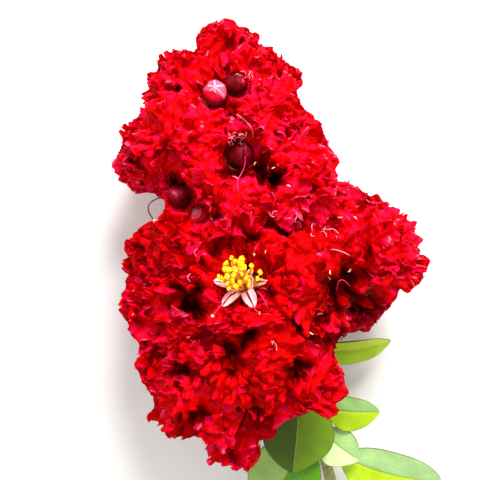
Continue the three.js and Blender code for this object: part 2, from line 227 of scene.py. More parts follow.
class Bundle:
    # many small shapes gathered into one mesh
    def __init__(self):
        self.points = []
        self.faces = []
        self.slots = []
        self.uvs = []
        self.count = 0

    def add(self, points, faces, slots=0, uvs=None):
        self.points.append(points)
        self.faces.extend([[corner + self.count for corner in face] for face in faces])
        self.slots.append(np.broadcast_to(np.asarray(slots), (len(faces),)))
        if uvs is not None:
            self.uvs.append(uvs[[corner for face in faces for corner in face]])
        self.count += len(points)

    def addTube(self, points, radii, sides, slot=0):
        self.add(*tube(points, np.broadcast_to(radii, (len(points),)), sides), slot)

    def build(self, name, materials, slot, nodes=()):
        mesh = bpy.data.meshes.new(name)
        points = (np.vstack(self.points) + plantShift) * millimetre
        mesh.from_pydata(points.tolist(), [], self.faces)
        for material in materials:
            mesh.materials.append(material)
        mesh.polygons.foreach_set("use_smooth", [True] * len(mesh.polygons))
        mesh.polygons.foreach_set("material_index", np.concatenate(self.slots).astype(np.int32))
        if self.uvs:
            layer = mesh.uv_layers.new(name="UVMap")
            layer.data.foreach_set("uv", np.vstack(self.uvs).astype(np.float32).reshape(-1))
        mesh.update()
        piece = addObject(name, mesh)
        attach(piece, "root")
        if nodes:
            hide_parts(*nodes)
        return piece


# the plant's own rule: where the stem, branches, blooms and petals stand

stemRule = {
    "cutEnd": -50, "tip": 130, "footRadius": 2.3, "tipRadius": 0.9, "cutX": 38, "tipX": -4,
    "crestHeight": 43, "riseStart": -42, "riseLength": 105, "sagStart": 55, "sagLength": 70, "sag": 9,
}
# name, start on the stem, reach, turn, climb, count of blooms, turn of the side blooms
sideBranches = [
    ("shoulder_left", 96, 29, 173, 8, 3, 95), ("shoulder_right", 91, 18, 9, 14, 3, 70),
    ("front_upper", 82, 30, 102, 8, 2, -80), ("arm", 68, 42, 1, 2, 4, 85),
    ("side_left", 61, 37, 180, 11, 2, -68), ("front_middle", 58, 33, 108, 7, 3, -86),
    ("side_low", 54, 40, 176, -1, 1, 0), ("front_low", 48.5, 34, 107, -6, 2, 84),
    ("low_right", 46.5, 13, 33, 0, 1, 0), ("low_left", 41, 40, 174, -8, 3, 242),
    ("front_foot", 44, 22, 79, -11, 1, 0), ("bottom", 38.5, 20, 149, -23, 1, 0),
    ("foot_left", 35, 35, -175, -11, 1, 0), ("back_middle", 72, 32, -99, 5, 3, 90),
    ("back_low", 51, 34, -115, -5, 2, 110), ("back_foot", 33, 17, -111, -6, 1, 0),
]
bloomRule = {
    "calyxLength": 8, "seedHeight": 6, "axisLow": 36, "axisHigh": 114, "clearance": 0.3,
    "tipStep": 0.018, "branchReachIn": 0.45, "setBack": 9, "spread": 21,
    "stalksFrom": (0.5, 0.64, 0.78), "tipOffsets": ((-16, -10, 8), (13, -12, 9), (2, -17, -21)),
    "whorlFrom": 115, "whorlStep": 4, "openName": "front_middle_1", "openTip": 0.5,
}
petalRule = {
    "clawStart": 5, "clawSpread": 1, "reach": 9.5, "openReach": 11, "reachVaries": 2,
    "crownPolar": 25, "sidePolar": 62, "openPolar": 84, "aroundVaries": 0.4,
    "facingAway": 0.75, "facingAwayOpen": 0.1, "facingAxis": 0.5, "facingVaries": 0.3, "cup": 1.2,
}


def smooth(t):
    t = min(max(t, 0), 1)
    return t * t * (3 - 2 * t)


def hashOf(bloom, petal, use):
    wave = math.sin(bloom * 12.9898 + petal * 78.233 + use * 37.719) * 43758.5453
    return wave - math.floor(wave)


def stemAt(y):
    rule = stemRule
    across = 1 - smooth((y - rule["cutEnd"]) / (rule["tip"] - rule["cutEnd"]))
    rise = smooth((y - rule["riseStart"]) / rule["riseLength"])
    sag = smooth((y - rule["sagStart"]) / rule["sagLength"])
    x = rule["tipX"] + (rule["cutX"] - rule["tipX"]) * across
    z = rule["footRadius"] + (rule["crestHeight"] - rule["footRadius"]) * rise - rule["sag"] * sag
    return np.array([x, y, z])


def bloomAt(name, rim, joint, axis=None):
    if axis is None:
        axis = unit(rim - stemAt(min(max(rim[1], bloomRule["axisLow"]), bloomRule["axisHigh"])))
    isOpen = name == bloomRule["openName"]
    if isOpen:
        axis = unit(axis + climb * bloomRule["openTip"])
    side = acrossFrom(climb, axis)
    return {"name": name, "rim": rim, "axis": axis, "side": side, "other": np.cross(axis, side),
            "base": rim - axis * bloomRule["calyxLength"], "seed": rim + axis * bloomRule["seedHeight"],
            "open": isOpen, "joint": joint}


def growPlant():
    rule = bloomRule
    blooms, curves = [], {}
    tipAxis = unit(stemAt(stemRule["tip"]) - stemAt(stemRule["tip"] - rule["tipStep"]))
    rim = stemAt(stemRule["tip"]) + tipAxis * (rule["calyxLength"] + rule["clearance"])
    blooms.append(bloomAt("tip_1", rim, None, tipAxis))
    for k, offset in enumerate(rule["tipOffsets"]):
        joint = stemAt(rule["whorlFrom"] - rule["whorlStep"] * k)
        blooms.append(bloomAt(f"tip_{k + 2}", rim + np.array(offset), joint))
    for name, start, reach, turn, climbing, count, fan in sideBranches:
        out = np.array([math.cos(math.radians(turn)), 0, math.sin(math.radians(turn))])
        across = np.cross(out, climb)
        root = stemAt(start)
        end = root + out * reach + climb * climbing
        first = bloomAt(f"{name}_1", end, None)
        tip = first["base"] - first["axis"] * rule["clearance"]
        bend = tip - first["axis"] * np.linalg.norm(tip - root) * rule["branchReachIn"]
        curves[name] = (root, bend, tip)
        blooms.append(first)
        for k in range(1, count):
            angle = math.radians(fan) + fullTurn * (k - 1) / max(count - 1, 2)
            spot = end - out * rule["setBack"]
            spot = spot + rule["spread"] * (climb * math.cos(angle) + across * math.sin(angle))
            joint = onCurve(root, bend, tip, rule["stalksFrom"][k - 1])
            blooms.append(bloomAt(f"{name}_{k + 1}", spot, joint))
    return blooms, curves


def stance(centre, facing, away, foot):
    # a blade's middle, its three directions and the foot of its claw
    facing = unit(facing)
    outward = acrossFrom(away, facing)
    return centre, facing, outward, np.cross(facing, outward), foot


def petalStance(flower, index, k, spin):
    rule = petalRule
    if flower["open"]:
        polar, count, reach, facingAway = rule["openPolar"], 6, rule["openReach"], rule["facingAwayOpen"]
    else:
        polar = rule["sidePolar"] if k else rule["crownPolar"]
        count, reach, facingAway = 5, rule["reach"], rule["facingAway"]
    polar = math.radians(polar)
    around = spin + fullTurn * k / count + rule["aroundVaries"] * (hashOf(index, k, 1) - 0.5)
    axis, side, other = flower["axis"], flower["side"], flower["other"]
    away = axis * math.cos(polar) + math.sin(polar) * (side * math.cos(around) + other * math.sin(around))
    centre = flower["rim"] + away * (reach + rule["reachVaries"] * (hashOf(index, k, 2) - 0.5))
    facing = away * facingAway + axis * rule["facingAxis"]
    facing = facing + rule["facingVaries"] * (side * (hashOf(index, k, 3) - 0.5)
                                              + other * (hashOf(index, k, 4) - 0.5))
    foot = flower["rim"] - axis * rule["clawStart"] + acrossFrom(away, axis) * rule["clawSpread"]
    return stance(centre, facing, away, foot)


blooms, branchCurves = growPlant()
print("plant placed:", len(blooms), "blooms,", len(branchCurves), "side branches")


# petals: a ruffled fan on a thin claw, each one different

petalShape = {
    "columns": 48, "innerRows": 14, "rimRows": 6, "rimStart": 0.72, "rimCrowd": 1.4, "frill": 4,
    "span": 2.1, "radius": 8.9, "radiusVaries": (0.9, 1.12), "length": 1.62, "narrow": 0.6,
    "baseBack": 0.66, "lobes": ((4.0, 5.5), (10.5, 13.5), (25, 31)), "scallops": 0.06,
    "notch": 0.10, "notchWidth": 0.12, "lowTurns": (2.0, 3.2), "lowHeight": 2.1,
    "midTurns": (8.0, 11.5), "midHeight": 1.6, "fineTurns": (23, 30), "fineHeight": 1.15,
    "tinyTurns": (46, 54), "tinyHeight": 0.35, "crumple": 0.72,
    "crumples": ((7.0, 0.6), (4.2, 0.7), (2.6, 0.6)), "curl": 2.2, "curlVaries": (-0.8, 1.2),
    "squeeze": 0.6, "neighbours": 48, "floorFrom": 1.5, "floorGap": 0.3, "clawRows": 6,
    "clawWidths": (0.45, 0.9), "pieceLimit": 50,
}
petalPaint = {
    "cloud": 210.0, "veins": (80.0, 3.0, 1.0), "folds": 620.0, "fine": 1500.0, "dark": 0.66,
    "light": 1.08, "bump": 0.9, "depth": 0.0018, "roughness": 0.5, "through": 0.3,
}
# colour and shine of each slot: mostly lit and shaded copies of one red, with painted shade in the
# throat, crimson and gap slots, painted light in the ruby and rose slots, and painted highlights in the
# pale edge slot
petalSkins = (
    ("petalThroatShade", (0.42, 0.0002, 0.0006), 0.02), ("petalCrimson", (0.62, 0.0002, 0.0007), 0.03),
    ("petalScarlet", (0.93, 0.0004, 0.0010), 0.03), ("petalRuby", (0.96, 0.0010, 0.012), 0.04),
    ("petalRose", (0.98, 0.0018, 0.056), 0.06), ("petalEdgeHighlight", (0.95, 0.10, 0.22), 0.2),
    ("petalGapShade", (0.15, 0.0001, 0.0003), 0.01),
)
# how the slot of a face is chosen: what lifts its level, and the levels where slots change; facing the
# sky, the bloom's place on the panicle, crests and rims lift it as painted light, the patches and the
# varying by petal and face are random tone, and a deep drop into a gap gives painted shade
petalTones = {
    "sideSky": 0.2, "skyBase": 0.08, "patch": 0.08, "crest": 0.2, "rim": 0.25, "rimMiddle": 0.6,
    "petalVaries": 0.25, "grain": 0.05, "levels": (-0.35, 0.22, 0.55), "edgeFrom": 0.94,
    "edgeLevel": 1.05, "throatTo": 0.2, "throatGrain": 0.04, "deepDrop": 3.0, "gapDrop": 7.0,
}
# painted sky light on the rosier tip and sides as share, start and length; painted shade in the deeper
# spots as x, y, width and share
plantTones = {
    "tip": (0.28, 76, 26), "right": (0.22, 10, 16), "left": (0.1, 14, 12),
    "shadeSpots": ((13, 54, 18, 1.1), (-18, 88, 13, 0.3)), "base": 0.04,
}
# the panicle's outline as the camera sees it, lobe by lobe, in millimetres at the height "level"
viewGuide = {
    "level": 42.0, "camera": 278.4, "middle": 76.8, "hold": 0.72, "quantile": 0.82, "inset": 0.3,
    "ragged": 0.9, "fullMoveAt": 0.45, "tuck": 3.0, "curveSteps": 6, "scallop": 0.9,
    "scallopLength": 1.7, "scallopDrift": 7.1,
    "outline": (
        (-3, 147), (0.6, 143.2), (5.4, 142.6), (6, 138.2), (11.5, 138.6), (14.3, 134.4), (19.4, 131),
        (20, 127), (18.4, 124), (19.2, 119.5), (24, 115), (27.8, 107), (31.7, 102.7), (30, 99),
        (31.4, 92.8), (35.6, 96), (40.3, 90.6), (43.5, 91.5), (46.1, 88.5), (50, 90.8), (55.4, 87.6),
        (53.4, 84), (57.3, 82.6), (56, 79.6), (58.7, 76.8), (56.6, 74.2), (60.2, 70.5), (58.9, 65),
        (53.8, 59.8), (50.8, 61.6), (49.5, 57), (44.8, 53), (40.5, 48.6), (33.5, 47), (29.4, 42),
        (32, 35), (35.2, 28), (30.4, 24.6), (32.2, 21.6), (27.5, 19.8), (22.7, 22.4), (13.8, 19.2),
        (10.9, 13.6), (5.6, 12.6), (6.1, 9), (2.6, 3), (-1.5, 2.8), (-5.8, 6.4), (-9.9, 4.8),
        (-11.8, 8.6), (-10.6, 13), (-14.1, 15), (-21.4, 13.2), (-29.2, 20), (-25.8, 24.4), (-29, 29),
        (-33.9, 37), (-31.8, 42.9), (-34.3, 48.4), (-38.9, 56), (-37, 63), (-35.2, 65.8), (-38.6, 69.3),
        (-35.4, 71.6), (-36.8, 75.2), (-31.2, 80.5), (-24, 85.4), (-26, 92), (-32.2, 93.4), (-39.2, 96),
        (-41.6, 101.5), (-36.8, 108.3), (-39.6, 112.6), (-32.2, 116.6), (-33, 122.8), (-28.4, 124.8),
        (-29.8, 129.6), (-25.2, 131), (-27, 135), (-21.6, 138.3), (-17.3, 136.2), (-12.4, 137.6),
        (-13.6, 142), (-8, 146.8),
    ),
}
# dark gaps between the blooms: x and y as the camera sees them, radius, depth
hollows = (
    (34, 62, 6.0, 13), (40.5, 56.5, 4.2, 12), (-17.5, 57, 4.6, 11), (-14, 53, 2.5, 9),
    (-13.6, 61.7, 1.7, 6), (-2.2, 38.5, 4.5, 11), (18.8, 34, 3.6, 11), (3.7, 46.2, 2.0, 8),
    (26.5, 51, 2.5, 6), (15, 58.5, 2.0, 5), (9, 59.5, 2.4, 8), (10, 66, 1.5, 6), (3.6, 76, 2.5, 8),
    (-13.5, 19.5, 3.0, 8), (-18.5, 35, 2.5, 7), (6.2, 21.5, 2.0, 8), (26.6, 28, 1.4, 5),
    (6.5, 98.8, 2.8, 11), (11.5, 96.8, 2.8, 12), (1.9, 99.4, 2.0, 8), (-2.5, 98.6, 2.4, 11),
    (-4, 102.5, 4.5, 6), (-2.8, 119.4, 2.4, 8), (-18.5, 93, 5.0, 5), (-21.5, 96, 2.2, 6),
    (-11.5, 91, 1.6, 5), (-7.6, 84.7, 1.6, 5), (-18, 113, 1.8, 4),
)
# how high the front starts, how uneven and steep a gap's rim is, and how far petals follow it
hollowShape = {
    "from": 26, "over": 16, "wide": 1.05, "oval": 0.3, "ragged": 0.22, "steep": 2.6,
    "share": 0.85, "shareVaries": 0.3,
}
# petals that close the gaps near the tip and the edges: bloom, centre, direction the blade faces
fillers = (
    ("tip_2", (-11.5, 129, 37), (0.1, 0.2, 1)), ("tip_1", (-9, 133, 36), (-0.3, 0.1, 1)),
    ("tip_3", (0, 122, 40), (0, 0.1, 1)), ("tip_2", (-14, 121, 40), (-0.2, 0, 1)),
    ("tip_4", (5, 127, 20), (1, 0.3, 0.1)), ("tip_4", (-9, 127, 20), (-1, 0.3, 0.1)),
    ("tip_1", (0, 130, 27), (0.3, 0.2, -0.9)), ("tip_4", (8, 117, 22), (1, 0, 0.2)),
    ("tip_4", (-12, 117, 22), (-1, 0, 0.2)), ("front_low_1", (0, 24, 57), (-0.1, 0.4, 1)),
    ("tip_1", (-5, 135, 45), (0, -0.1, 1)), ("tip_2", (-21, 126, 45), (-0.2, 0.1, 1)),
    ("front_low_1", (9, 26, 57), (0.2, 0.4, 1)), ("bottom_1", (5, 17, 51), (0.1, 0.2, 1)),
    ("front_foot_1", (9, 21, 52), (0, 0.4, 1)), ("arm_4", (34, 85, 50), (0.1, 0.3, 1)),
    ("arm_2", (34.5, 76, 70), (0.1, 0.1, 1)), ("front_upper_2", (29, 80, 54), (0.1, 0.2, 1)),
    ("arm_4", (48, 86, 41), (0.2, 0.2, 1)), ("shoulder_left_1", (-37, 102, 42), (-0.3, 0, 1)),
    ("low_left_1", (-30, 37, 43), (-0.3, 0, 1)), ("foot_left_1", (-23.5, 21, 38), (-0.2, -0.2, 1)),
    ("tip_1", (-6, 142, 38), (0, 0.2, 1)), ("side_left_1", (-31, 75, 48), (-0.2, 0.3, 1)),
    ("side_left_1", (-32, 66, 47), (-0.3, 0.1, 1)), ("side_low_1", (-32, 52, 48), (-0.3, 0.1, 1)),
)
# petals keep out of the ball over the fresh flower
clearing = {"height": 7.0, "radius": 11.0, "keep": 0.15}
# a bud's look is a star of pale rays on its lit side, a pink patch that is a painted highlight, or the
# direction of a painted highlight on it
buds = (
    {"from": 117, "centre": (-8, 122.9, 47), "radius": 3.8, "axis": (0.05, 0.2, 1), "look": "star"},
    {"from": 120, "centre": (-1.2, 126.1, 47), "radius": 3.6, "axis": (0.4, 0.9, 0.6),
     "look": (0.6, 0.1, 0.8)},
    {"from": 101, "centre": (0, 102.4, 58), "radius": 4.8, "axis": (0.1, 0.8, 0.7),
     "look": (0.3, 0.2, 0.9)},
    {"from": 87, "centre": (-18.3, 89.5, 57), "radius": 4.1, "axis": (-0.6, 0.3, 0.7),
     "look": (-0.2, 0.2, 1)},
    {"from": 77, "centre": (-11.8, 84.2, 65.5), "radius": 3.0, "axis": (0, 0.2, 1), "look": "blush"},
)
# how petals give way round a bud; inner, outer and floor are shares of its radius
budHoles = {"inner": 0.8, "outer": 1.45, "slope": 8.0, "dip": 6.0, "floor": 0.3, "share": 0.94}


def petalMaterial(name, colour, shine):
    look = petalPaint
    material, wire, place = startMaterial(name)
    sheet = wire.make("ShaderNodeTexCoord", {}, {}, "UV")
    cloud = wire.noise(place, look["cloud"])
    veins = wire.noise(wire.stretched(sheet, look["veins"]), 1.0, 4.0)
    folds = wire.noise(place, look["folds"], 3.0, 0.6)
    fine = wire.noise(place, look["fine"], 2.0)
    # the tone mixes random cloud and veins with the folds of the bump, so the creases are darker: painted
    # shade
    tone = (cloud * 0.35 + veins * 0.35 + folds * 0.3).over(0.34, 0.62)
    paint = tone.blend(rgba(colour, look["dark"]), rgba(colour, look["light"]))
    normal = wire.bump(veins * 0.35 + folds * 0.5 + fine * 0.15, look["bump"], look["depth"])
    body = wire.body(paint, look["roughness"], shine, Normal=normal)
    glow = wire.make("ShaderNodeBsdfTranslucent", {}, {"Color": paint, "Normal": normal})
    return finishMaterial(material, body, glow, look["through"])


def petalSheet():
    # rows run from the claw to the rim, and near the rim the columns are "frill" times as many
    shape = petalShape
    columns, frill = shape["columns"], shape["frill"]
    inner = np.linspace(0, shape["rimStart"], shape["innerRows"])
    t = np.linspace(0, 1, shape["rimRows"] + 1)[1:]
    rim = shape["rimStart"] + (1 - shape["rimStart"]) * (1 - (1 - t) ** shape["rimCrowd"])
    blocks = [(inner, columns), (rim, columns * frill)]
    w = np.concatenate([np.tile(np.linspace(-1, 1, count + 1), len(rows)) for rows, count in blocks])
    r = np.concatenate([np.repeat(rows, count + 1) for rows, count in blocks])
    faces, first = [], 0
    for rows, count in blocks:
        faces += gridFaces(len(rows), count + 1, first)
        first += len(rows) * (count + 1)
    lastInner, firstRim = (len(inner) - 1) * (columns + 1), len(inner) * (columns + 1)
    half = frill // 2
    for column in range(columns):
        a = lastInner + column
        ring = [firstRim + column * frill + step for step in range(frill + 1)]
        faces += [[a, ring[step + 1], ring[step]] for step in range(half)]
        faces.append([a, a + 1, ring[half]])
        faces += [[a + 1, ring[step + 1], ring[step]] for step in range(half, frill)]
    corners = np.array([face[:3] for face in faces])
    return {"w": w, "r": r, "faces": faces, "corners": corners, "uvs": np.stack([(w + 1) / 2, r], axis=1),
            "faceW": w[corners].mean(axis=1), "faceR": r[corners].mean(axis=1)}


def gridFaces(rows, columns, first=0):
    # the faces of a grid of points that lie row by row
    return [[a, a + 1, a + columns + 1, a + columns]
            for row in range(rows - 1)
            for a in range(first + row * columns, first + (row + 1) * columns - 1)]


def petalPoints(sheet, flower, standing, seed, walls):
    shape, w, r = petalShape, sheet["w"], sheet["r"]
    rng = np.random.default_rng(seed)
    centre, facing, outward, crosswise, foot = standing
    size = shape["radius"] * rng.uniform(*shape["radiusVaries"])
    phi = w * shape["span"]
    phase = rng.uniform(0, fullTurn, 16)
    wide, close, tiny = shape["lobes"]
    lobes = (0.9 * np.abs(np.sin(phi * rng.uniform(*wide) + phase[0])) ** 0.5
             + np.abs(np.sin(phi * rng.uniform(*close) + 0.8 * np.sin(3 * phi) + phase[1])) ** 0.5
             + 0.4 * np.abs(np.sin(phi * rng.uniform(*tiny) + phase[2])) ** 0.6 - 1.5)
    notch = np.exp(-((phi - rng.uniform(-1.0, 1.0)) / shape["notchWidth"]) ** 2)
    reach = size * shape["length"] * np.cos(shape["narrow"] * phi)
    reach = reach * (1 + (shape["scallops"] * lobes - shape["notch"] * notch) * r ** 6)
    x = reach * r * np.cos(phi)
    y = reach * r * np.sin(phi)
    # ruffles that grow to the rim and lean over it
    lowTurn = phi * rng.uniform(*shape["lowTurns"]) + phase[3] + 0.8 * np.sin(2.2 * r + phase[4])
    midTurn = phi * rng.uniform(*shape["midTurns"]) + phase[5] + 1.2 * np.sin(2.6 * r + phase[6])
    midTurn = midTurn + 1.2 * np.sin(2.1 * phi + phase[7])
    fineTurn = phi * rng.uniform(*shape["fineTurns"]) + phase[8] + 0.9 * np.sin(3.5 * r + phase[9])
    fineTurn = fineTurn + 1.4 * np.sin(3.9 * phi + phase[12])
    tinyTurn = phi * rng.uniform(*shape["tinyTurns"]) + phase[14] + 2.0 * np.sin(6.1 * phi + phase[15])
    midSize = shape["midHeight"] * (0.8 + 0.4 * np.sin(1.9 * phi + phase[10]))
    fineSize = shape["fineHeight"] * (0.8 + 0.5 * np.sin(3.7 * phi + phase[13]))
    height = (r ** 1.5 * shape["lowHeight"] * np.sin(lowTurn) + r ** 1.7 * midSize * np.sin(midTurn)
              + r ** 2.6 * fineSize * np.sin(fineTurn) + r ** 10 * shape["tinyHeight"] * np.sin(tinyTurn))
    lean = (0.8 * r ** 1.5 * np.cos(lowTurn + phase[11]) - 0.55 * r ** 2.5 * midSize * np.sin(2 * midTurn)
            - 0.3 * r ** 3.6 * fineSize * np.sin(2 * fineTurn))
    x, y = x - lean * np.sin(phi), y + lean * np.cos(phi)
    # crumpling that follows no direction
    for length, share in shape["crumples"]:
        for _ in range(2):
            way, start = rng.uniform(0, fullTurn, 2)
            wave = np.sin(fullTurn * (x * math.cos(way) + y * math.sin(way)) / length + start)
            height = height + shape["crumple"] * share * wave * (0.3 + 0.7 * r)
    curl = shape["curl"] * rng.uniform(*shape["curlVaries"])
    along = x / (size * shape["length"])
    height = height - petalRule["cup"] - curl * along ** 2 * np.sign(along)
    points = (centre + (x - shape["baseBack"] * size)[:, None] * outward
              + y[:, None] * crosswise + height[:, None] * facing)
    claw = clawPoints(foot, points, w, r)
    slack = viewGuide["ragged"] * rng.uniform(-1, 1)
    points, drop, opened = settled(points, walls, flower, slack, r)
    crest = r ** 1.5 * np.sin(midTurn) + r ** 2.5 * np.sin(fineTurn)
    return points, drop, opened, crest, settled(claw, walls, flower)[0]


def clawPoints(foot, blade, w, r):
    # the claw's middle line runs from the calyx to the blade's narrow end
    neck = blade[r < 1e-6].mean(axis=0)
    further = blade[(r > 0.1) & (r < 0.3) & (np.abs(w) < 0.2)].mean(axis=0)
    bend = neck + (neck - further) * 0.7
    return bezier(foot, 0.5 * (foot + bend), neck, petalShape["clawRows"])


def seenAt(points):
    # where the camera sees the points, on the guide's level
    guide = viewGuide
    scale = (guide["camera"] - guide["level"]) / (guide["camera"] - points[:, 2])
    across = points[:, 0] * scale
    along = guide["middle"] + (points[:, 1] - guide["middle"]) * scale
    return np.stack([across, along], axis=1), scale


def outlineCurve():
    # a closed smooth curve through the guide's points, then scalloped as the petals' rims are
    guide = viewGuide
    corners = np.array(guide["outline"], float)
    before, after, later = (np.roll(corners, step, axis=0) for step in (1, -1, -2))
    t = np.linspace(0, 1, guide["curveSteps"], endpoint=False)[:, None, None]
    curve = 2 * corners + (after - before) * t
    curve = curve + (2 * before - 5 * corners + 4 * after - later) * t ** 2
    curve = 0.5 * (curve + (3 * corners - before - 3 * after + later) * t ** 3)
    curve = curve.transpose(1, 0, 2).reshape(-1, 2)
    steps = np.roll(curve, -1, axis=0) - np.roll(curve, 1, axis=0)
    length = np.linalg.norm(steps, axis=1)
    along = np.cumsum(length / 2)
    inward = np.stack([steps[:, 1], -steps[:, 0]], axis=1) / length[:, None]
    drift = 1.3 * np.sin(along / guide["scallopDrift"])
    lobes = np.abs(np.sin(along / guide["scallopLength"] + drift)) ** 0.6 - 0.7
    return curve - guide["scallop"] * lobes[:, None] * inward


def outlineMoves(points, flower, slack):
    # the moves, as the camera sees them, that would bring points back over the panicle's outline
    seen, scale = seenAt(points)
    middle = seenAt(flower["rim"][None])[0][0]
    ray = seen - middle
    far = np.maximum(np.linalg.norm(ray, axis=1), 1e-6)
    crossings, furthest = np.zeros(len(seen), int), np.zeros(len(seen))
    within = np.linalg.norm(outline - middle, axis=1) < far.max() + 2
    for (x0, y0), (x1, y1) in zip(outline[within], np.roll(outline, -1, axis=0)[within]):
        turn = ray[:, 0] * (y1 - y0) - ray[:, 1] * (x1 - x0)
        turn = np.where(np.abs(turn) < 1e-9, 1e-9, turn)
        t = ((x0 - middle[0]) * (y1 - y0) - (y0 - middle[1]) * (x1 - x0)) / turn
        u = ((x0 - middle[0]) * ray[:, 1] - (y0 - middle[1]) * ray[:, 0]) / turn
        meets = (t > 0) & (t < 1) & (u >= 0) & (u < 1)
        crossings += meets
        furthest = np.where(meets & (t > furthest), t, furthest)
    limit = furthest + (slack - viewGuide["inset"]) / far
    outside = (limit < 1) & (crossings % 2 == 1)
    return np.where(outside, limit - 1, 0)[:, None] * ray, scale


def insideOutline(points, flower, slack, r=None):
    # a petal is drawn back whole towards its own bloom, then what still reaches over is drawn in
    points = points.copy()
    if r is not None:
        move, scale = outlineMoves(points, flower, slack)
        reach = np.linalg.norm(move, axis=1)
        furthest = move[reach >= np.quantile(reach, viewGuide["quantile"])].mean(axis=0)
        points[:, :2] += np.clip(r / viewGuide["fullMoveAt"], 0, 1)[:, None] * furthest / scale[:, None]
    move, scale = outlineMoves(points, flower, slack)
    points[:, :2] += viewGuide["hold"] * move / scale[:, None]
    return points


def sunk(points, share=1.0):
    # the points after the dark gaps have drawn them in, and how far; no gap is round
    shape = hollowShape
    seen = seenAt(points)[0]
    front = np.clip((points[:, 2] - shape["from"]) / shape["over"], 0, 1) * share
    drop = np.zeros(len(points))
    for number, (x, y, radius, depth) in enumerate(hollows):
        across, along = seen[:, 0] - x, seen[:, 1] - y
        turn = np.arctan2(along, across)
        oval, ragged = np.sin(2 * turn + number), np.sin(5 * turn + 2 * number)
        wide = radius * (shape["wide"] + shape["oval"] * oval + shape["ragged"] * ragged)
        drop += depth * front * np.exp(-(np.hypot(across, along) / wide) ** shape["steep"])
    return points - drop[:, None] * up, drop


def tucked(points, flower):
    # calyxes and stamens stay under the petals
    return sunk(insideOutline(points, flower, -viewGuide["tuck"]))[0]


def besideBuds(points, drop):
    # petals dip round each bud, and are open where they stand far above it, so that it shows
    holes = budHoles
    points, drop = points.copy(), drop.copy()
    opened = np.zeros(len(points), bool)
    for bud in buds:
        radius = bud["radius"]
        ray = seenAt(points)[0] - seenAt(np.array([bud["centre"]]))[0]
        flat = np.linalg.norm(ray, axis=1)
        rise = holes["slope"] * np.maximum(flat - holes["inner"] * radius, 0)
        over = np.maximum(points[:, 2] - bud["centre"][2] + holes["floor"] * radius - rise, 0)
        over[flat > holes["outer"] * radius] = 0
        opened |= (over > holes["dip"]) & (flat < radius)
        lowered = holes["share"] * np.minimum(over, holes["dip"])
        points[:, 2] -= lowered
        drop += lowered
    return points, drop, opened


def settled(points, walls, flower, slack=0.0, r=None):
    # a bloom presses against its neighbours, keeps to the outline and lies on the surface
    for away, wall in walls:
        over = np.maximum(points @ away - wall, 0)
        points = points - petalShape["squeeze"] * over[:, None] * away
    share = hollowShape["share"] + hollowShape["shareVaries"] * slack
    points, drop = sunk(insideOutline(points, flower, slack, r), share)
    points, drop, opened = besideBuds(points, drop)
    spot = openFlower["rim"] + openFlower["axis"] * clearing["height"]
    away = points - spot
    far = np.linalg.norm(away, axis=1)
    near = far < clearing["radius"]
    target = clearing["radius"] - clearing["keep"] * (clearing["radius"] - far[near])
    points[near] = spot + away[near] * (target / far[near])[:, None]
    start, gap = petalShape["floorFrom"], petalShape["floorGap"]
    low = points[:, 2] < start
    points[low, 2] = gap + (start - gap) * np.exp((points[low, 2] - start) / (start - gap))
    return points, drop, opened


def wallsOf(flower):
    walls = []
    for other in blooms:
        away = other["seed"] - flower["seed"]
        distance = np.linalg.norm(away)
        if other is not flower and distance < petalShape["neighbours"]:
            away = away / distance
            walls.append((away, flower["seed"] @ away + distance / 2))
    return walls


def fillerStance(flower, centre, facing):
    centre = np.array(centre, float)
    foot = flower["rim"] - flower["axis"] * petalRule["clawStart"]
    return stance(centre, facing, centre - flower["rim"], foot)


def ramp(value, share, start, length):
    return share * smooth((value - start) / length)


def toneAt(x, y):
    # painted light: the tip and both sides are rosier as if more sky light fell there, and two spots on
    # the front are deeper as painted shade
    tones = plantTones
    tone = ramp(y, *tones["tip"]) + (ramp(x, *tones["right"]) + ramp(-x, *tones["left"]))
    for spotX, spotY, width, share in tones["shadeSpots"]:
        tone -= share * math.exp(-((x - spotX) / width) ** 2 - ((y - spotY) / width) ** 2)
    return tone - tones["base"]


def petalSlots(points, drop, crest, sheet, flower, seed):
    # the side that looks up the panicle, toward the key light and the sky, is rosier as painted light,
    # crests and rims are lighter, lit rims get pale painted highlights, and the throat and the dark gaps
    # get painted shade
    tones, corners, faceW, faceR = petalTones, sheet["corners"], sheet["faceW"], sheet["faceR"]
    drop, crest = drop[corners].mean(axis=1), crest[corners].mean(axis=1)
    rng = np.random.default_rng(seed)
    a, b, c = (points[corners[:, n]] for n in range(3))
    normal = np.cross(b - a, c - a)
    normal /= np.maximum(np.linalg.norm(normal, axis=1), 1e-9)[:, None]
    upward = np.where(normal[:, 2] < 0, -1, 1)
    sky = normal[:, 1] * upward + tones["sideSky"] * np.abs(normal[:, 0]) - tones["skyBase"]
    crest = crest * np.sign((normal * upward[:, None]).mean(axis=0) @ flower["axis"] + 0.2)
    bright = toneAt(*flower["rim"][:2])
    turns = rng.uniform(0, fullTurn, 3)
    patch = np.sin(faceW * 7 + turns[0]) + np.sin(faceW * 15 + turns[1]) + np.sin(faceW * 27 + turns[2])
    level = sky + bright + tones["patch"] * patch + tones["crest"] * crest
    level = level + tones["rim"] * (faceR - tones["rimMiddle"])
    level = level + rng.uniform(-tones["petalVaries"], tones["petalVaries"])
    level = level + rng.normal(0, tones["grain"], len(level))
    slots = 1 + sum((level > change).astype(int) for change in tones["levels"])
    # pale painted highlights along the rims that face the light
    highlightLevel = sky + bright + 0.25 * patch + tones["crest"] * crest
    slots[(faceR > tones["edgeFrom"]) & (highlightLevel > tones["edgeLevel"])] = 5
    # painted shade in the throat near the claw, darker painted shade where a petal drops into a gap
    slots[faceR + rng.normal(0, tones["throatGrain"], len(faceR)) < tones["throatTo"]] = 0
    slots[drop > tones["deepDrop"]] = 0
    slots[drop > tones["gapDrop"]] = 6
    return slots


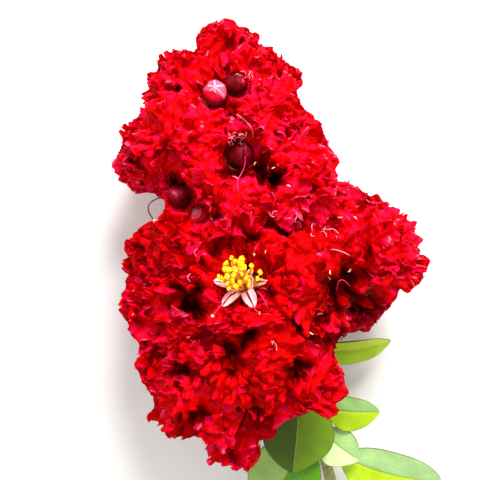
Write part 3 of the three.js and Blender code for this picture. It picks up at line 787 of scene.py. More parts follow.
def cutOpen(points, slots, sheet, opened):
    # the petal without the faces that have an opened corner
    faces, uvs = sheet["faces"], sheet["uvs"]
    if not opened.any():
        return points, faces, slots, uvs
    kept = [n for n, face in enumerate(faces) if not opened[face].any()]
    used = np.unique(np.concatenate([faces[n] for n in kept]))
    place = np.zeros(len(points), int)
    place[used] = np.arange(len(used))
    return points[used], [place[faces[n]].tolist() for n in kept], slots[kept], uvs[used]


def makePetals():
    sheet = petalSheet()
    materials = [petalMaterial(*skin) for skin in petalSkins]
    pieces, everything, number = [], [], 0
    for index, flower in enumerate(blooms):
        spin = fullTurn * hashOf(index, 0, 7)
        walls = wallsOf(flower)
        stances = [petalStance(flower, index, k, spin) for k in range(6)]
        stances += [fillerStance(flower, centre, facing) for name, centre, facing in fillers
                    if name == flower["name"]]
        for k, standing in enumerate(stances):
            if number % petalShape["pieceLimit"] == 0:
                pieces.append((Bundle(), set()))
            number += 1
            bundle, nodes = pieces[-1]
            seed = 1000 * index + k + 7
            near = walls if k < 6 else []
            points, drop, opened, crest, claw = petalPoints(sheet, flower, standing, seed, near)
            petal = cutOpen(points, petalSlots(points, drop, crest, sheet, flower, seed), sheet, opened)
            bundle.add(*petal)
            bundle.add(*ribbon(claw, *petalShape["clawWidths"]))
            nodes.add(f"bloom_{flower['name']}")
            everything.append(petal[0])
    for part, (bundle, nodes) in enumerate(pieces):
        bundle.build(f"petals_{part + 1}", materials, "petals", sorted(nodes))
    print("petals made:", number)
    return np.vstack(everything)


def ribbon(middle, startWidth, endWidth):
    # a narrow strip along a line, three faces wide and a little hollow
    along = unit(middle[-1] - middle[0])
    side = sideOf(along)
    lift = np.cross(along, side)
    widths = np.linspace(startWidth, endWidth, len(middle))
    offsets = np.array([-1.0, -0.4, 0.4, 1.0])
    points = (middle[:, None, :] + widths[:, None, None] * offsets[None, :, None] * side
              + 0.3 * (offsets ** 2)[None, :, None] * lift)
    uvs = np.stack([np.tile(offsets * 0.03 + 0.5, len(middle)),
                    np.repeat(np.linspace(0, 0.1, len(middle)), len(offsets))], axis=1)
    # the claw's faces take slot 0, the throat's painted shade
    return points.reshape(-1, 3), gridFaces(len(middle), len(offsets)), 0, uvs


openFlower = next(bloom for bloom in blooms if bloom["open"])
outline = outlineCurve()
petalSpots = makePetals()


# woody stem, side branches and thin stalks

stemLook = {
    "rows": 300, "sides": 30, "ridge": 0.05, "lump": 0.05, "joint": 0.22, "jointLength": 1.6,
    "cutDepth": 0.5,
}
branchLook = {
    "rows": 34, "sides": 14, "radius": 1.15, "taper": 0.4, "flare": 0.5, "uneven": 0.05,
    "intoCalyx": 0.8,
}
stalkLook = {"rows": 16, "sides": 9, "radius": 0.62, "budRadius": 0.6, "flare": 0.25, "budFlare": 0.2,
             "reachIn": 0.45, "budReachIn": 0.5}
barkPaint = {"long": (900.0, 90.0, 900.0), "cloud": 120.0, "roughness": 0.72, "shine": 0.3, "bump": 0.7}


def barkMaterial(name, dark, light, ridge):
    look = barkPaint
    material, wire, place = startMaterial(name)
    long = wire.noise(wire.stretched(place, look["long"]), 1.0, 5.0)
    cloud = wire.noise(place, look["cloud"])
    paint = (long * 0.6 + cloud * 0.5).over(0.35, 0.75).blend(rgba(dark), rgba(light))
    normal = wire.bump(long, look["bump"], ridge)
    return finishMaterial(material, wire.body(paint, look["roughness"], look["shine"], Normal=normal))


def makeStem():
    shape, rule = stemLook, stemRule
    t = np.linspace(0, 1, shape["rows"])
    ys = rule["cutEnd"] + (rule["tip"] - rule["cutEnd"]) * t
    radii = rule["footRadius"] + (rule["tipRadius"] - rule["footRadius"]) * t
    for start in [row[1] for row in sideBranches]:
        radii = radii + shape["joint"] * np.exp(-((ys - start) / shape["jointLength"]) ** 2)
    turns, climbing = turnsOf(shape["sides"])[None, :], ys[:, None]
    relief = (1 + shape["ridge"] * np.sin(4 * turns + 0.02 * climbing)
              + 0.5 * shape["ridge"] * np.sin(11 * turns + 0.35 * climbing)
              + shape["lump"] * np.sin(0.9 * climbing + 2 * turns) * np.sin(0.37 * climbing + 3 * turns))
    spots, faces = tube([stemAt(y) for y in ys], radii, shape["sides"], relief)
    bark = barkMaterial("stemBark", (0.20, 0.16, 0.05), (0.56, 0.54, 0.24), 0.0004)
    cutWood = barkMaterial("cutWood", (0.42, 0.33, 0.16), (0.66, 0.56, 0.34), 0.0001)
    cutTo = rule["cutEnd"] + shape["cutDepth"]
    slots = [int(len(face) == 3 and np.mean([spots[i][1] for i in face]) < cutTo) for face in faces]
    bundle = Bundle()
    bundle.add(spots, faces, slots)
    bundle.build("stem_bark", [bark, cutWood], "bark", ["stem"])


def makeBranches():
    shape, bundle = branchLook, Bundle()
    t = np.linspace(0, 1, shape["rows"])
    radii = shape["radius"] - shape["taper"] * t + shape["flare"] * np.exp(-t * 16)
    radii = radii + shape["uneven"] * np.sin(t * 37)
    for root, bend, tip in branchCurves.values():
        end = tip + unit(tip - bend) * shape["intoCalyx"]
        bundle.addTube(bezier(root, bend, end, shape["rows"]), radii, shape["sides"])
    bark = barkMaterial("branchBark", (0.12, 0.05, 0.022), (0.26, 0.22, 0.07), 0.0003)
    bundle.build("side_branches", [bark], "bark", [f"branch_{name}" for name in branchCurves])


def makeStalks():
    shape, bundle = stalkLook, Bundle()
    t = np.linspace(0, 1, shape["rows"])
    flare = shape["flare"] * np.exp(-t * 9)
    for flower in blooms:
        if flower["joint"] is not None:
            end = flower["base"] + flower["axis"]
            reach = np.linalg.norm(end - flower["joint"]) * shape["reachIn"]
            curve = bezier(flower["joint"], end - flower["axis"] * reach, end, shape["rows"])
            radii = shape["radius"] + flare + shape["flare"] * np.exp((t - 1) * 9)
            bundle.addTube(curve, radii, shape["sides"])
    for bud in buds:
        start, centre = stemAt(bud["from"]), np.array(bud["centre"], float)
        reach = np.linalg.norm(centre - start) * shape["budReachIn"]
        curve = bezier(start, centre - unit(bud["axis"]) * reach, centre, shape["rows"])
        bundle.addTube(curve, shape["budRadius"] + shape["budFlare"] * np.exp(-t * 9), shape["sides"])
    green = barkMaterial("stalkSkin", (0.16, 0.04, 0.02), (0.22, 0.20, 0.05), 0.0002)
    bundle.build("bloom_stalks", [green], "bark")


makeStem()
makeBranches()
makeStalks()
print("stem, branches and stalks made")


# calyxes and buds

calyxShape = {
    "profile": ((-8.0, 0.75), (-7.4, 1.3), (-6.4, 2.35), (-5.0, 3.3), (-3.4, 3.95), (-1.6, 4.25),
                (0.0, 4.3), (-0.5, 3.7), (-2.2, 2.6), (-2.6, 0.4)),
    "columns": 36, "rib": 0.055, "openWidth": 0.74, "sepalLength": 4.2, "sepalWidth": 2.15,
    "sepalStart": 4.1, "sepalColumns": 6, "sepalRows": 5, "lift": 0.35, "liftVaries": 0.4,
}
calyxSkins = (
    ("calyxWax", (0.10, 0.005, 0.006), (0.24, 0.016, 0.012), 0.45),
    ("sepalWax", (0.18, 0.010, 0.010), (0.32, 0.035, 0.02), 0.5),
    ("openCupWax", (0.66, 0.24, 0.20), (0.88, 0.52, 0.42), 0.5),
)
budShape = {
    "columns": 72, "rows": 36, "ridge": 0.05, "groove": 0.03, "grooveWidth": 0.12, "foot": 0.18,
    "length": 1.02, "peakFrom": 0.86, "peak": 1.1, "pinkHighlightSpot": (0.1, 0.5, 1.0),
    "pinkHighlightWide": 0.75, "pinkHighlightInner": 0.3, "highlightWide": 0.45, "highlightInner": 0.16, "highlightRagged": 0.1,
}
# the wax and flush are the buds' own dark and red; the pink, the ring and the highlight are painted
# highlights, and the pale skin is the star's rays and the middle of a painted highlight
budSkins = (
    ("budWax", (0.10, 0.001, 0.003), (0.22, 0.002, 0.008), 0.5, 0.06),
    ("budFlush", (0.62, 0.002, 0.015), (0.88, 0.008, 0.05), 0.5, 0.06),
    ("budBlush", (0.88, 0.06, 0.16), (0.96, 0.15, 0.28), 0.5, 0.06),
    ("budStar", (0.80, 0.30, 0.38), (0.90, 0.50, 0.54), 0.5, 0.06),
    ("budWine", (0.22, 0.002, 0.012), (0.34, 0.006, 0.026), 0.5, 0.06),
    ("budGlow", (0.46, 0.03, 0.09), (0.62, 0.09, 0.17), 0.5, 0.06),
)


def waxMaterial(name, dark, light, gloss, shine=0.18):
    material, wire, place = startMaterial(name)
    cloud = wire.noise(place, 320.0, 4.0)
    fine = wire.noise(place, 1400.0, 2.0)
    paint = cloud.over(0.35, 0.68).blend(rgba(dark), rgba(light))
    return finishMaterial(material, wire.body(paint, gloss, shine, Normal=wire.bump(fine, 0.25, 0.0002)))


def waxes(skins):
    return [waxMaterial(*skin) for skin in skins]


def placed(points, flower):
    return stood(points, flower["rim"], flower["side"], flower["other"], flower["axis"])


def calyxTemplate():
    # a ribbed cup: its rings climb the profile, then go over the rim and down inside
    turns = turnsOf(calyxShape["columns"])
    rings = []
    for height, radius in calyxShape["profile"]:
        spread = radius * (1 + calyxShape["rib"] * np.cos(6 * turns) * min(1.0, radius / 3))
        rings.append(np.stack([spread * np.cos(turns), spread * np.sin(turns),
                               np.full(len(turns), height)], axis=1))
    return loft(rings)


def sepalPoints(across, along, turn, length, lift, width, start, belly=0.0, arch=0.0, sink=0.0):
    # a pointed lobe that leaves the calyx's rim and bends outwards, turned to its place
    out = start + along * length * (1 - lift) + 0.25 * (across ** 2) * (1 - along)
    rise = along * length * lift - 0.35 * across ** 2 * (1 - along)
    rise = rise + arch * np.sin(math.pi * along) - sink
    across = across * (width * (1 - along) ** 0.75 * (1 - belly + 3 * belly * along) + 0.05)
    return np.stack([out * math.cos(turn) - across * math.sin(turn),
                     out * math.sin(turn) + across * math.cos(turn), rise], axis=1)


def makeCalyxes():
    shape, bundle = calyxShape, Bundle()
    cup, cupFaces = calyxTemplate()
    across, along, sepalFaces = gridTemplate(shape["sepalColumns"], shape["sepalRows"])
    for index, flower in enumerate(blooms):
        width = shape["openWidth"] if flower["open"] else 1.0
        points = placed(cup * (width, width, 1.0), flower)
        bundle.add(tucked(points, flower), cupFaces, 2 if flower["open"] else 0)
        if flower["open"]:
            continue
        for k in range(6):
            turn = fullTurn * (k + 0.5) / 6
            lift = shape["lift"] + shape["liftVaries"] * hashOf(index, k, 31)
            sepal = sepalPoints(across, along, turn, shape["sepalLength"], lift, shape["sepalWidth"],
                                shape["sepalStart"])
            bundle.add(tucked(placed(sepal, flower), flower), sepalFaces, 1)
    bundle.build("calyxes", waxes(calyxSkins), "petals")


def budTemplate():
    # a ball with six ridges between shallow grooves, a narrow foot and a small peak
    shape = budShape
    bm = bmesh.new()
    bmesh.ops.create_uvsphere(bm, u_segments=shape["columns"], v_segments=shape["rows"], radius=1.0)
    ball, faces = templateOf(bm)
    turn, height = np.arctan2(ball[:, 1], ball[:, 0]), ball[:, 2]
    ridge = 1 + shape["ridge"] * np.abs(np.cos(3 * turn)) ** 0.6 * (1 - height ** 2)
    groove = 1 - shape["groove"] * (np.abs(np.sin(3 * turn)) < shape["grooveWidth"]) * (height > 0)
    spread = ridge * groove * np.where(height < 0, 1 - shape["foot"] * height ** 2, 1.0)
    peak = np.where(height > shape["peakFrom"], (height - shape["peakFrom"]) * shape["peak"], 0)
    points = np.stack([ball[:, 0] * spread, ball[:, 1] * spread, height * shape["length"] + peak], axis=1)
    return points, faces, np.array([ball[face].mean(axis=0) for face in faces])


def budSlots(look, middle, facing):
    # the skin of each face; middle is its place on the template, facing where it looks on the plant
    shape = budShape
    if look == "star":
        x, y, z = middle.T
        # painted light: the upper side, where light falls, is pink, and the pale rays, partly the bud's
        # own stripes, show only there
        lit = (z > 0.3) & (x - 0.4 * y > -0.36)
        inRay = np.abs(np.sin(3 * np.arctan2(y, x))) < 0.28 + 2.6 * np.clip(z - 0.78, 0, 1)
        return 1 + lit + (lit & (z > 0.35) & inRay)
    if look == "blush":
        # a pink painted highlight on the red body, paler in its middle
        away = np.linalg.norm(middle - unit(shape["pinkHighlightSpot"]), axis=1)
        return 1 + (away < shape["pinkHighlightWide"]) + (away < shape["pinkHighlightInner"])
    # a painted highlight where light falls, with a ring of softer painted highlight round it
    away = np.linalg.norm(facing - unit(look), axis=1)
    away = away + shape["highlightRagged"] * np.sin(5 * np.arctan2(facing[:, 1], facing[:, 0]))
    return np.where(away < shape["highlightInner"], 5, np.where(away < shape["highlightWide"], 4, 0))


def makeBuds():
    bundle = Bundle()
    local, faces, middle = budTemplate()
    for bud in buds:
        centre, axis = np.array(bud["centre"], float), unit(bud["axis"])
        side = acrossFrom(climb, axis)
        other = np.cross(axis, side)
        slots = budSlots(bud["look"], middle, stood(middle, 0, side, other, axis))
        bundle.add(centre + bud["radius"] * stood(local, 0, side, other, axis), faces, slots)
    bundle.build("flower_buds", waxes(budSkins), "petals")
    return np.vstack(bundle.points)


makeCalyxes()
surface = np.vstack([petalSpots, makeBuds()])
seenSurface = seenAt(surface)[0]
print("calyxes and buds made")


# stamens: filaments and anthers

stamenShape = {
    "perBloom": 9, "openCount": 60, "goldenTurn": 2.39996, "footRing": 1.8, "footDepth": 2.0,
    "filament": 0.13, "openFilament": 0.2, "bendVaries": (-0.6, 1.0), "reach": 3.6,
    "rise": (3.2, 6.2), "size": (0.42, 0.6), "longFilament": 0.17, "longShare": 0.3,
    "longLength": (9, 12), "longRows": 12, "sag": 3.5, "nearby": 0.7,
}
openStamens = {
    "wander": 0.25, "reach": 5.5, "reachVaries": (-0.9, 0.9), "shortEvery": 4, "shortReach": 0.6,
    "shortRise": 3.6, "rise": 7.8, "domed": 2.2, "lowSide": 1.6, "riseVaries": (-0.8, 0.8),
    "climb": 0.5, "gather": 0.2, "shortDrop": 1.2, "size": (0.76, 1.0),
}
# filaments over the petals: start, bend and end as the camera sees them, colour, anther at the end
strands = (
    ((5.5, 60.5), (7.5, 58), (9, 54.7), "magenta", False),
    ((-3, 59), (-6, 56), (-8.8, 52.5), "magenta", True),
    ((6, 60.8), (7.5, 61.4), (8.8, 60.6), "magenta", False),
    ((4.2, 56), (5, 54.4), (6.2, 53.4), "magenta", True),
    ((7, 53), (8.6, 53.2), (10, 52.8), "magenta", False),
    ((6, 75.5), (4.9, 74), (4.5, 72.2), "magenta", True),
    ((-13.8, 71.4), (-14.6, 72.8), (-13.6, 74), "pale", False),
    ((-15.7, 63.4), (-16.8, 64.8), (-15.8, 66), "pale", False),
    ((-0.9, 117), (3.4, 113), (3.9, 109.4), "pale", False),
    ((1.6, 108.4), (1.2, 106), (1.6, 103.4), "dark", False),
    ((1.6, 103.4), (1.3, 100), (-0.6, 96.4), "magenta", False),
    ((-2.4, 97.2), (-1.6, 97), (-0.6, 96.4), "pale", False),
    ((0.4, 97.8), (0, 97.2), (-0.6, 96.4), "pale", False),
    ((-0.6, 96.4), (-0.8, 94.6), (-0.6, 92), "magenta", False),
    ((-25.3, 90.5), (-29.3, 87.6), (-27.4, 83), "dark", True),
    ((-22, 56), (-20, 54.4), (-18, 54), "magenta", False),
    ((31, 60.5), (32.2, 64), (35.2, 62), "magenta", False),
    ((29, 73.8), (32, 73.3), (35.2, 71.8), "pale", False),
    ((28.5, 80.2), (30, 80.2), (31.4, 79), "pale", False),
    ((-10.4, 88.4), (-9.4, 87.4), (-9.8, 86), "pale", False),
    ((10.5, 44.5), (11.6, 43), (11.6, 41.4), "pale", False),
)
# slot and share of the thickness for each colour, and the three heights over the petals
strandLook = {"magenta": (0, 0.85), "pale": (1, 0.65), "dark": (2, 1.2), "lifts": (0.3, 1.4, 0.5)}
# tangles of pale curled filaments: x and y as the camera sees them, spread across and along, count
tangles = (
    (-1.3, 109.4, 2.7, 2.1, 16), (1.2, 129.8, 2.4, 1.2, 8), (26, 79.5, 4.0, 1.5, 6),
    (14, 83.5, 5.0, 2.0, 5),
)
tangleLook = {"reach": (0.6, 1.3), "bow": (-0.9, 0.9), "lifts": (0.4, 1.1, 0.4), "thick": 0.1}
# withered anthers and torn bits, as the camera sees them, with their size
flecks = (
    (32, 84.2, 0.8), (36.8, 83.8, 0.6), (29, 66.4, 0.6), (35, 67.2, 0.7), (25.6, 53, 0.8),
    (23, 47, 0.6), (10.2, 43.8, 0.5), (4.9, 101.2, 0.6), (10.6, 100, 0.5), (15.5, 94, 0.6),
    (-9, 83.8, 0.5), (-34.5, 53, 0.4), (-26.8, 83, 0.5), (8.3, 64, 0.5), (28.5, 64.5, 0.5),
    (8.3, 73, 0.5),
)
fleckWidths = np.array([0.16, 0.3, 0.36, 0.3, 0.12])
antherSkins = (
    ("freshAnther", (0.95, 0.48, 0.002), (1.0, 0.78, 0.01), 0.5),
    ("amberAnther", (0.90, 0.30, 0.002), (1.0, 0.55, 0.01), 0.5),
    ("oldAnther", (0.30, 0.04, 0.02), (0.50, 0.12, 0.05), 0.6),
    ("paleAnther", (0.55, 0.24, 0.12), (0.90, 0.66, 0.44), 0.5),
)
filamentSkins = (
    ("magentaFilament", (0.62, 0.006, 0.06), (0.80, 0.04, 0.16), 0.4),
    ("paleFilament", (0.80, 0.14, 0.24), (0.92, 0.46, 0.52), 0.45),
    ("darkFilament", (0.06, 0.004, 0.008), (0.13, 0.01, 0.015), 0.4),
    ("openFilament", (0.92, 0.28, 0.05), (1.0, 0.55, 0.16), 0.45),
)


def heightAt(x, y):
    # how high the petals or buds are where the camera sees the spot x, y
    near = (np.abs(seenSurface - (x, y)) < stamenShape["nearby"]).all(axis=1)
    return surface[near, 2].max() if near.any() else viewGuide["level"]


def seenSpot(x, y, height):
    share = (viewGuide["camera"] - height) / (viewGuide["camera"] - viewGuide["level"])
    return np.array([x * share, viewGuide["middle"] + (y - viewGuide["middle"]) * share, height])


def laidOver(places, lifts, steps):
    # a curve a little above the petals through three places, none of them deep in a gap
    heights = np.array([heightAt(*place) for place in places]) + lifts
    heights = np.maximum(heights, heights.max() - stamenShape["sag"])
    start, bend, end = (seenSpot(*place, height) for place, height in zip(places, heights))
    return bezier(start, 2 * bend - 0.5 * (start + end), end, steps), bend


def antherTemplate():
    # two plump lobes side by side
    bm = bmesh.new()
    for side in (-1, 1):
        made = bmesh.ops.create_icosphere(bm, subdivisions=1, radius=1.0)["verts"]
        bmesh.ops.scale(bm, vec=(0.52, 0.58, 0.82), verts=made)
        bmesh.ops.translate(bm, vec=(0.32 * side, 0, 0), verts=made)
    return templateOf(bm)


def addAnther(anthers, spot, direction, size, slot):
    side = sideOf(direction)
    points, faces = anther
    anthers.add(stood(points * size, spot, side, np.cross(direction, side), direction), faces, slot)


def addStamens(anthers, filaments, index, flower):
    shape, fresh = stamenShape, openStamens
    rng = np.random.default_rng(900 + index)
    rim, axis, side, other = flower["rim"], flower["axis"], flower["side"], flower["other"]
    count = shape["openCount"] if flower["open"] else shape["perBloom"]
    thick, colour = (shape["openFilament"], 3) if flower["open"] else (shape["filament"], 0)
    for n in range(count):
        angle = n * shape["goldenTurn"]
        ring = math.sqrt((n + 0.5) / count)
        out = side * math.cos(angle) + other * math.sin(angle)
        start = rim + out * shape["footRing"] * ring - axis * shape["footDepth"]
        if flower["open"]:
            out = unit(out + fresh["wander"] * rng.normal(0, 1, 3))
            wide = fresh["reach"] * ring + rng.uniform(*fresh["reachVaries"])
            climbing = fresh["climb"] - fresh["gather"] * wide * (out @ climb)
            short = n % fresh["shortEvery"] == 0
            if short:
                rise = fresh["shortRise"]
                wide, climbing = wide * fresh["shortReach"], climbing - fresh["shortDrop"]
            else:
                lower = max(-(out @ climb), 0) * ring
                rise = fresh["rise"] - fresh["domed"] * ring ** 2 - fresh["lowSide"] * lower
                rise = rise + rng.uniform(*fresh["riseVaries"])
            end = rim + out * wide + axis * rise + climb * climbing
            size, slot = rng.uniform(*fresh["size"]), int(short)
            across = rng.normal(0, 1.0, 3)
        else:
            end = rim + out * shape["reach"] * ring + axis * rng.uniform(*shape["rise"])
            size, slot = rng.uniform(*shape["size"]), 2
            across = end - start + rng.normal(0, 2.0, 3)
        bend = 0.5 * (start + end) + out * rng.uniform(*shape["bendVaries"])
        curve = tucked(bezier(start, bend, end, 5), flower)
        filaments.addTube(curve, thick, 4, colour)
        addAnther(anthers, curve[-1], unit(across), size, slot)
    if not flower["open"] and rng.random() < shape["longShare"]:
        out = side * math.cos(index) + other * math.sin(index)
        length = rng.uniform(*shape["longLength"])
        start = rim + out * 2.6 - axis * 1.0
        end = rim + out * length * 0.8 + axis * length * 0.4
        bend = rim + out * 2.0 + axis * length * 0.9
        curve = tucked(bezier(start, bend, end, shape["longRows"]), flower)
        filaments.addTube(curve, shape["longFilament"], 5)
        addAnther(anthers, curve[-1], unit(end - bend), 0.5, 2)


def addStrands(anthers, filaments):
    look = strandLook
    for start, bend, end, colour, tipped in strands:
        slot, share = look[colour]
        curve, middle = laidOver((start, bend, end), look["lifts"], stamenShape["longRows"])
        filaments.addTube(curve, stamenShape["longFilament"] * share, 5, slot)
        if tipped:
            direction = unit(curve[-1] - middle + climb * 0.01)
            addAnther(anthers, curve[-1] + up * 0.3, direction, 0.6, 3)


def addTangles(filaments):
    look = tangleLook
    rng = np.random.default_rng(77)
    for x, y, wide, long, count in tangles:
        for _ in range(count):
            place = np.array([x + wide * rng.uniform(-1, 1), y + long * rng.uniform(-1, 1)])
            turn, reach = rng.uniform(0, fullTurn), rng.uniform(*look["reach"])
            way = reach * np.array([math.cos(turn), math.sin(turn)])
            bow = np.array([-way[1], way[0]]) * rng.uniform(*look["bow"])
            curve = laidOver((place - way, place + bow, place + way), look["lifts"], 7)[0]
            filaments.addTube(curve, look["thick"], 4, 1)


def addFlecks(filaments):
    for n, (x, y, size) in enumerate(flecks):
        spot = seenSpot(x, y, heightAt(x, y) + 0.25)
        lying = np.array([math.cos(2.4 * n), math.sin(2.4 * n), 0.0]) * size
        curl = bezier(spot - lying, spot + np.cross(lying, up) * 0.7, spot + lying, len(fleckWidths))
        filaments.addTube(curl, size * fleckWidths, 5, 4)


def makeStamens():
    anthers, filaments = Bundle(), Bundle()
    for index, flower in enumerate(blooms):
        addStamens(anthers, filaments, index, flower)
    addStrands(anthers, filaments)
    addTangles(filaments)
    addFlecks(filaments)
    antherWaxes = waxes(antherSkins)
    anthers.build("anthers", antherWaxes, "petals")
    filaments.build("filaments", waxes(filamentSkins) + antherWaxes[-1:], "petals")


# the fresh flower's sepals; the upper ones hide under the stamens, and the one that lies in shadow gets a
# darker tan: painted shade
openSepals = {
    "lengths": (3.4, 6.6, 7.6, 7.8, 5.4, 2.6), "widths": (1.6, 2.2, 2.4, 2.7, 1.7, 1.2), "columns": 12,
    "rows": 14, "start": 2.7, "lift": 0.2, "belly": 0.32, "arch": 0.5, "sink": 0.4, "shadedSepal": 4,
}
sepalSkins = (
    ("sepalPale", (0.78, 0.38, 0.36), (0.88, 0.64, 0.54), 0.5),
    ("sepalLine", (0.16, 0.003, 0.01), (0.30, 0.008, 0.02), 0.45),
    ("sepalPink", (0.72, 0.16, 0.24), (0.88, 0.42, 0.44), 0.45),
    ("sepalTan", (0.30, 0.06, 0.02), (0.62, 0.30, 0.12), 0.45),
)


def makeOpenSepals():
    shape, bundle = openSepals, Bundle()
    across, along, faces = gridTemplate(shape["columns"], shape["rows"])
    faceAcross, faceAlong = across[faces].mean(axis=1), along[faces].mean(axis=1)
    for k, (length, width) in enumerate(zip(shape["lengths"], shape["widths"])):
        # a dark line bends along each sepal, with a pink patch beside it and a dark margin
        line = 0.25 * math.sin(2.2 * k)
        offset = faceAcross - line * faceAlong * (1.6 - faceAlong)
        blush = (np.abs(faceAcross) > 0.5) & (np.abs(faceAlong - 0.45) < 0.28) & (offset * line > 0)
        margin = (faceAcross * line < 0) & (np.abs(faceAcross) > 0.82) & (faceAlong < 0.8)
        # the sepal in shadow takes a darker tan as painted shade
        plain = 3 if k == shape["shadedSepal"] else 0
        slots = np.where(margin | (np.abs(offset) < 0.18), 1, np.where(blush, 2, plain))
        sepal = sepalPoints(across, along, fullTurn * (k + 0.5) / 6, length, shape["lift"], width,
                            shape["start"], shape["belly"], shape["arch"], shape["sink"])
        bundle.add(placed(sepal, openFlower), faces, slots)
    bundle.build("open_sepals", waxes(sepalSkins), "petals")


anther = antherTemplate()
makeStamens()
makeOpenSepals()
print("stamens and sepals made")


# leaves

# the colours of the halves, left and right of the midrib seen from the base, hold painted light and
# shade: a half in shade is darker, a lit half paler, and the leaf in shadow is dark all over
leafSheets = (
    {"name": "leaf_front", "from": 31, "tip": (17.5, -1, 31), "petiole": 6, "width": 24, "roll": -8,
     "arch": 2, "halvesLitAndShaded": ((0.060, 0.115, 0.001), (0.155, 0.290, 0.002)), "gloss": 0.5},
    {"name": "leaf_lower_left", "from": 14, "tip": (8, -21, 16), "petiole": 6, "width": 25, "roll": 12,
     "arch": 3, "halvesLitAndShaded": ((0.34, 0.52, 0.12), (0.10, 0.34, 0.004)), "gloss": 0.4},
    {"name": "leaf_lower_middle", "from": 12, "tip": (41, 1, 24), "petiole": 1.5, "width": 14, "roll": 10,
     "arch": 2, "halvesLitAndShaded": ((0.62, 0.80, 0.36), (0.44, 0.70, 0.24)), "gloss": 0.3},
    {"name": "leaf_lower_right", "from": 2, "tip": (72, -9, 14), "petiole": 6, "width": 22, "roll": 20,
     "arch": 4, "halvesLitAndShaded": ((0.46, 0.66, 0.006), (0.50, 0.78, 0.30)), "gloss": 0.32},
    {"name": "leaf_right", "from": 20, "tip": (47, 19, 30), "petiole": 5, "width": 13.5, "roll": 20,
     "arch": 1, "halvesLitAndShaded": ((0.40, 0.58, 0.004), (0.40, 0.66, 0.20)), "gloss": 0.4},
    {"name": "leaf_arm", "from": 40, "tip": (53, 41.5, 19), "petiole": 6, "width": 9.5, "roll": 25,
     "arch": 3, "halvesLitAndShaded": ((0.36, 0.56, 0.003), (0.54, 0.70, 0.004)), "gloss": 0.4},
)
leafShape = {
    "rows": 64, "columns": 40, "fold": 0.12, "veins": 9, "veinHeight": 0.22, "veinLean": 0.75,
    "ribDepth": 0.5, "wave": 0.5, "thickness": 0.0005, "stalkRadii": (0.8, 0.6), "stalkRows": 10,
}
leafPaint = {
    "mottle": 140.0, "cells": (24.0, 60.0, 1.0), "rib": (0.004, 0.018), "margin": (0.485, 0.497),
    "ribColour": (0.50, 0.60, 0.16), "marginColour": (0.06, 0.05, 0.01), "dark": 0.78,
    "light": 1.18, "through": 0.15,
}


def leafMaterial(name, colour, gloss):
    look = leafPaint
    material, wire, place = startMaterial(name)
    sheet = wire.make("ShaderNodeTexCoord", {}, {}, "UV")
    mottle = wire.noise(place, look["mottle"], 4.0)
    cells = wire.noise(wire.stretched(sheet, look["cells"]), 1.0, 5.0, 0.65)
    fromRib = abs(wire.make("ShaderNodeSeparateXYZ", {}, {0: sheet}, "X") - 0.5)
    tone = (mottle * 0.55 + cells * 0.45).over(0.35, 0.66)
    paint = tone.blend(rgba(colour, look["dark"]), rgba(colour, look["light"]))
    paint = ((1 - fromRib.over(*look["rib"])) * 0.45).blend(paint, rgba(look["ribColour"]))
    paint = (fromRib.over(*look["margin"]) * 0.7).blend(paint, rgba(look["marginColour"]))
    body = wire.body(paint, gloss, 0.3, Normal=wire.bump(cells, 0.35, 0.0004))
    glow = wire.make("ShaderNodeBsdfTranslucent", {}, {"Color": paint})
    return finishMaterial(material, body, glow, look["through"])


def makeLeaf(row, stalkWax):
    shape = leafShape
    root, tip = stemAt(row["from"]), np.array(row["tip"], float)
    along = unit(tip - root)
    base = root + along * row["petiole"]
    length = np.linalg.norm(tip - base)
    flat = acrossFrom(up, along)
    roll = math.radians(row["roll"])
    flat = flat * math.cos(roll) + np.cross(along, flat) * math.sin(roll)
    across = np.cross(flat, along)
    v, u, faces = gridTemplate(shape["columns"], shape["rows"])
    bulge = np.sin(np.pi * u ** 0.85) ** 0.75
    half = 0.5 * row["width"] * np.maximum(bulge, 0.03 * (1 - u) + 0.004)
    lift = shape["fold"] * row["width"] * np.abs(v) * np.sin(np.pi * u) + row["arch"] * 4 * u * (1 - u)
    # side veins run from the midrib forward to the margin
    veinPhase = (u * length - np.abs(v) * half * shape["veinLean"]) * shape["veins"] * fullTurn / length
    ridge = np.cos(veinPhase) ** 8
    lift = lift - shape["veinHeight"] * ridge * (1 - v ** 2) * np.sin(np.pi * u)
    lift = lift - shape["ribDepth"] * np.exp(-(v * half / 0.5) ** 2) * (1 - u) ** 0.5
    lift = lift + shape["wave"] * np.sin(9 * u + 2 * v + row["from"]) * v ** 2 * np.sin(np.pi * u)
    points = base + (u * length)[:, None] * along + (v * half)[:, None] * across + lift[:, None] * flat
    blade, stalk = Bundle(), Bundle()
    slots = (v[np.array(faces)].mean(axis=1) > 0).astype(int)
    blade.add(points, faces, slots, np.stack([(v + 1) / 2, u], axis=1))
    curve = bezier(root, 0.5 * (root + base), base + along * 2, shape["stalkRows"])
    stalk.addTube(curve, np.linspace(*shape["stalkRadii"], shape["stalkRows"]), 10)
    skins = [leafMaterial(f"{row['name']}_half_{n + 1}", colour, row["gloss"])
             for n, colour in enumerate(row["halvesLitAndShaded"])]
    leaf = blade.build(row["name"] + "_blade", skins, "leaves", [row["name"]])
    thick = leaf.modifiers.new("thick", "SOLIDIFY")
    thick.thickness = shape["thickness"]
    thick.offset = 0
    stalk.build(row["name"] + "_stalk", [stalkWax], "leaves")


leafStalkWax = waxMaterial("leafStalkWax", (0.20, 0.10, 0.03), (0.34, 0.34, 0.10), 0.45)
for leafRow in leafSheets:
    makeLeaf(leafRow, leafStalkWax)
print("leaves made")


# floor, lights and camera

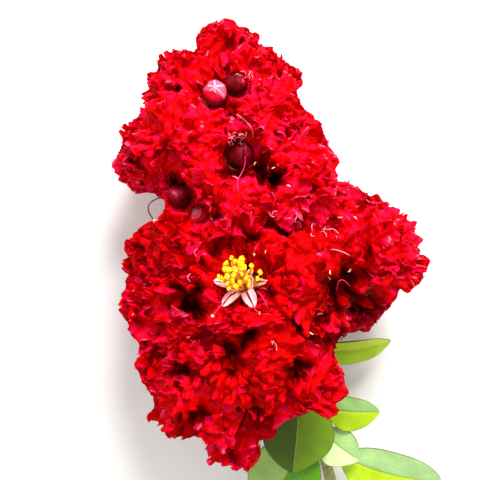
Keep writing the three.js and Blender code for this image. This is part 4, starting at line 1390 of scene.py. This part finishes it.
stageLook = {"floor": (0.80, 0.79, 0.77), "sky": 0.78}
# name, place, what it is turned to, size, power
lights = (
    ("keyLight", (0.08, 0.32, 0.42), (0.0, 0.02, 0.03), 0.2, 4.3),
    ("fillLight", (-0.3, -0.25, 0.35), (0.0, 0.0, 0.03), 0.3, 0.6),
)
cameraLook = {"sensor": 36.0, "halfAngle": 18.0, "near": 0.01, "far": 10.0}


def makeStage():
    bm = bmesh.new()
    bmesh.ops.create_grid(bm, x_segments=2, y_segments=2, size=2.0)
    mesh = bpy.data.meshes.new("floor")
    bm.to_mesh(mesh)
    bm.free()
    floor = addObject("floor", mesh)
    material, wire, place = startMaterial("floorPaper")
    paint = wire.noise(place, 60.0).blend(rgba(stageLook["floor"], 0.98), rgba(stageLook["floor"], 1.02))
    mesh.materials.append(finishMaterial(material, wire.body(paint, 0.9, 0.1)))
    world = bpy.data.worlds.new("softRoom")
    world.use_nodes = True
    background = world.node_tree.nodes["Background"]
    background.inputs["Color"].default_value = (1.0, 1.0, 1.0, 1.0)
    background.inputs["Strength"].default_value = stageLook["sky"]
    bpy.context.scene.world = world


def addLight(name, spot, target, size, power):
    light = bpy.data.lights.new(name, "AREA")
    light.shape = "DISK"
    light.size = size
    light.energy = power
    lamp = addObject(name, light)
    lamp.location = spot
    lamp.rotation_mode = "QUATERNION"
    lamp.rotation_quaternion = (Vector(target) - Vector(spot)).to_track_quat("-Z", "Y")


def makeCamera():
    # straight above the branch, at the height that gives the photo's scale
    data = bpy.data.cameras.new("camera")
    data.sensor_width = cameraLook["sensor"]
    data.lens = cameraLook["sensor"] / 2 / math.tan(math.radians(cameraLook["halfAngle"]))
    data.clip_start = cameraLook["near"]
    data.clip_end = cameraLook["far"]
    camera = addObject("camera", data)
    place = np.array([0.0, viewGuide["middle"], viewGuide["camera"]]) + plantShift
    camera.location = (place * millimetre).tolist()
    bpy.context.scene.camera = camera


makeStage()
for row in lights:
    addLight(*row)
makeCamera()
bpy.context.scene.view_settings.view_transform = "Standard"
print("stage, lights and camera set")
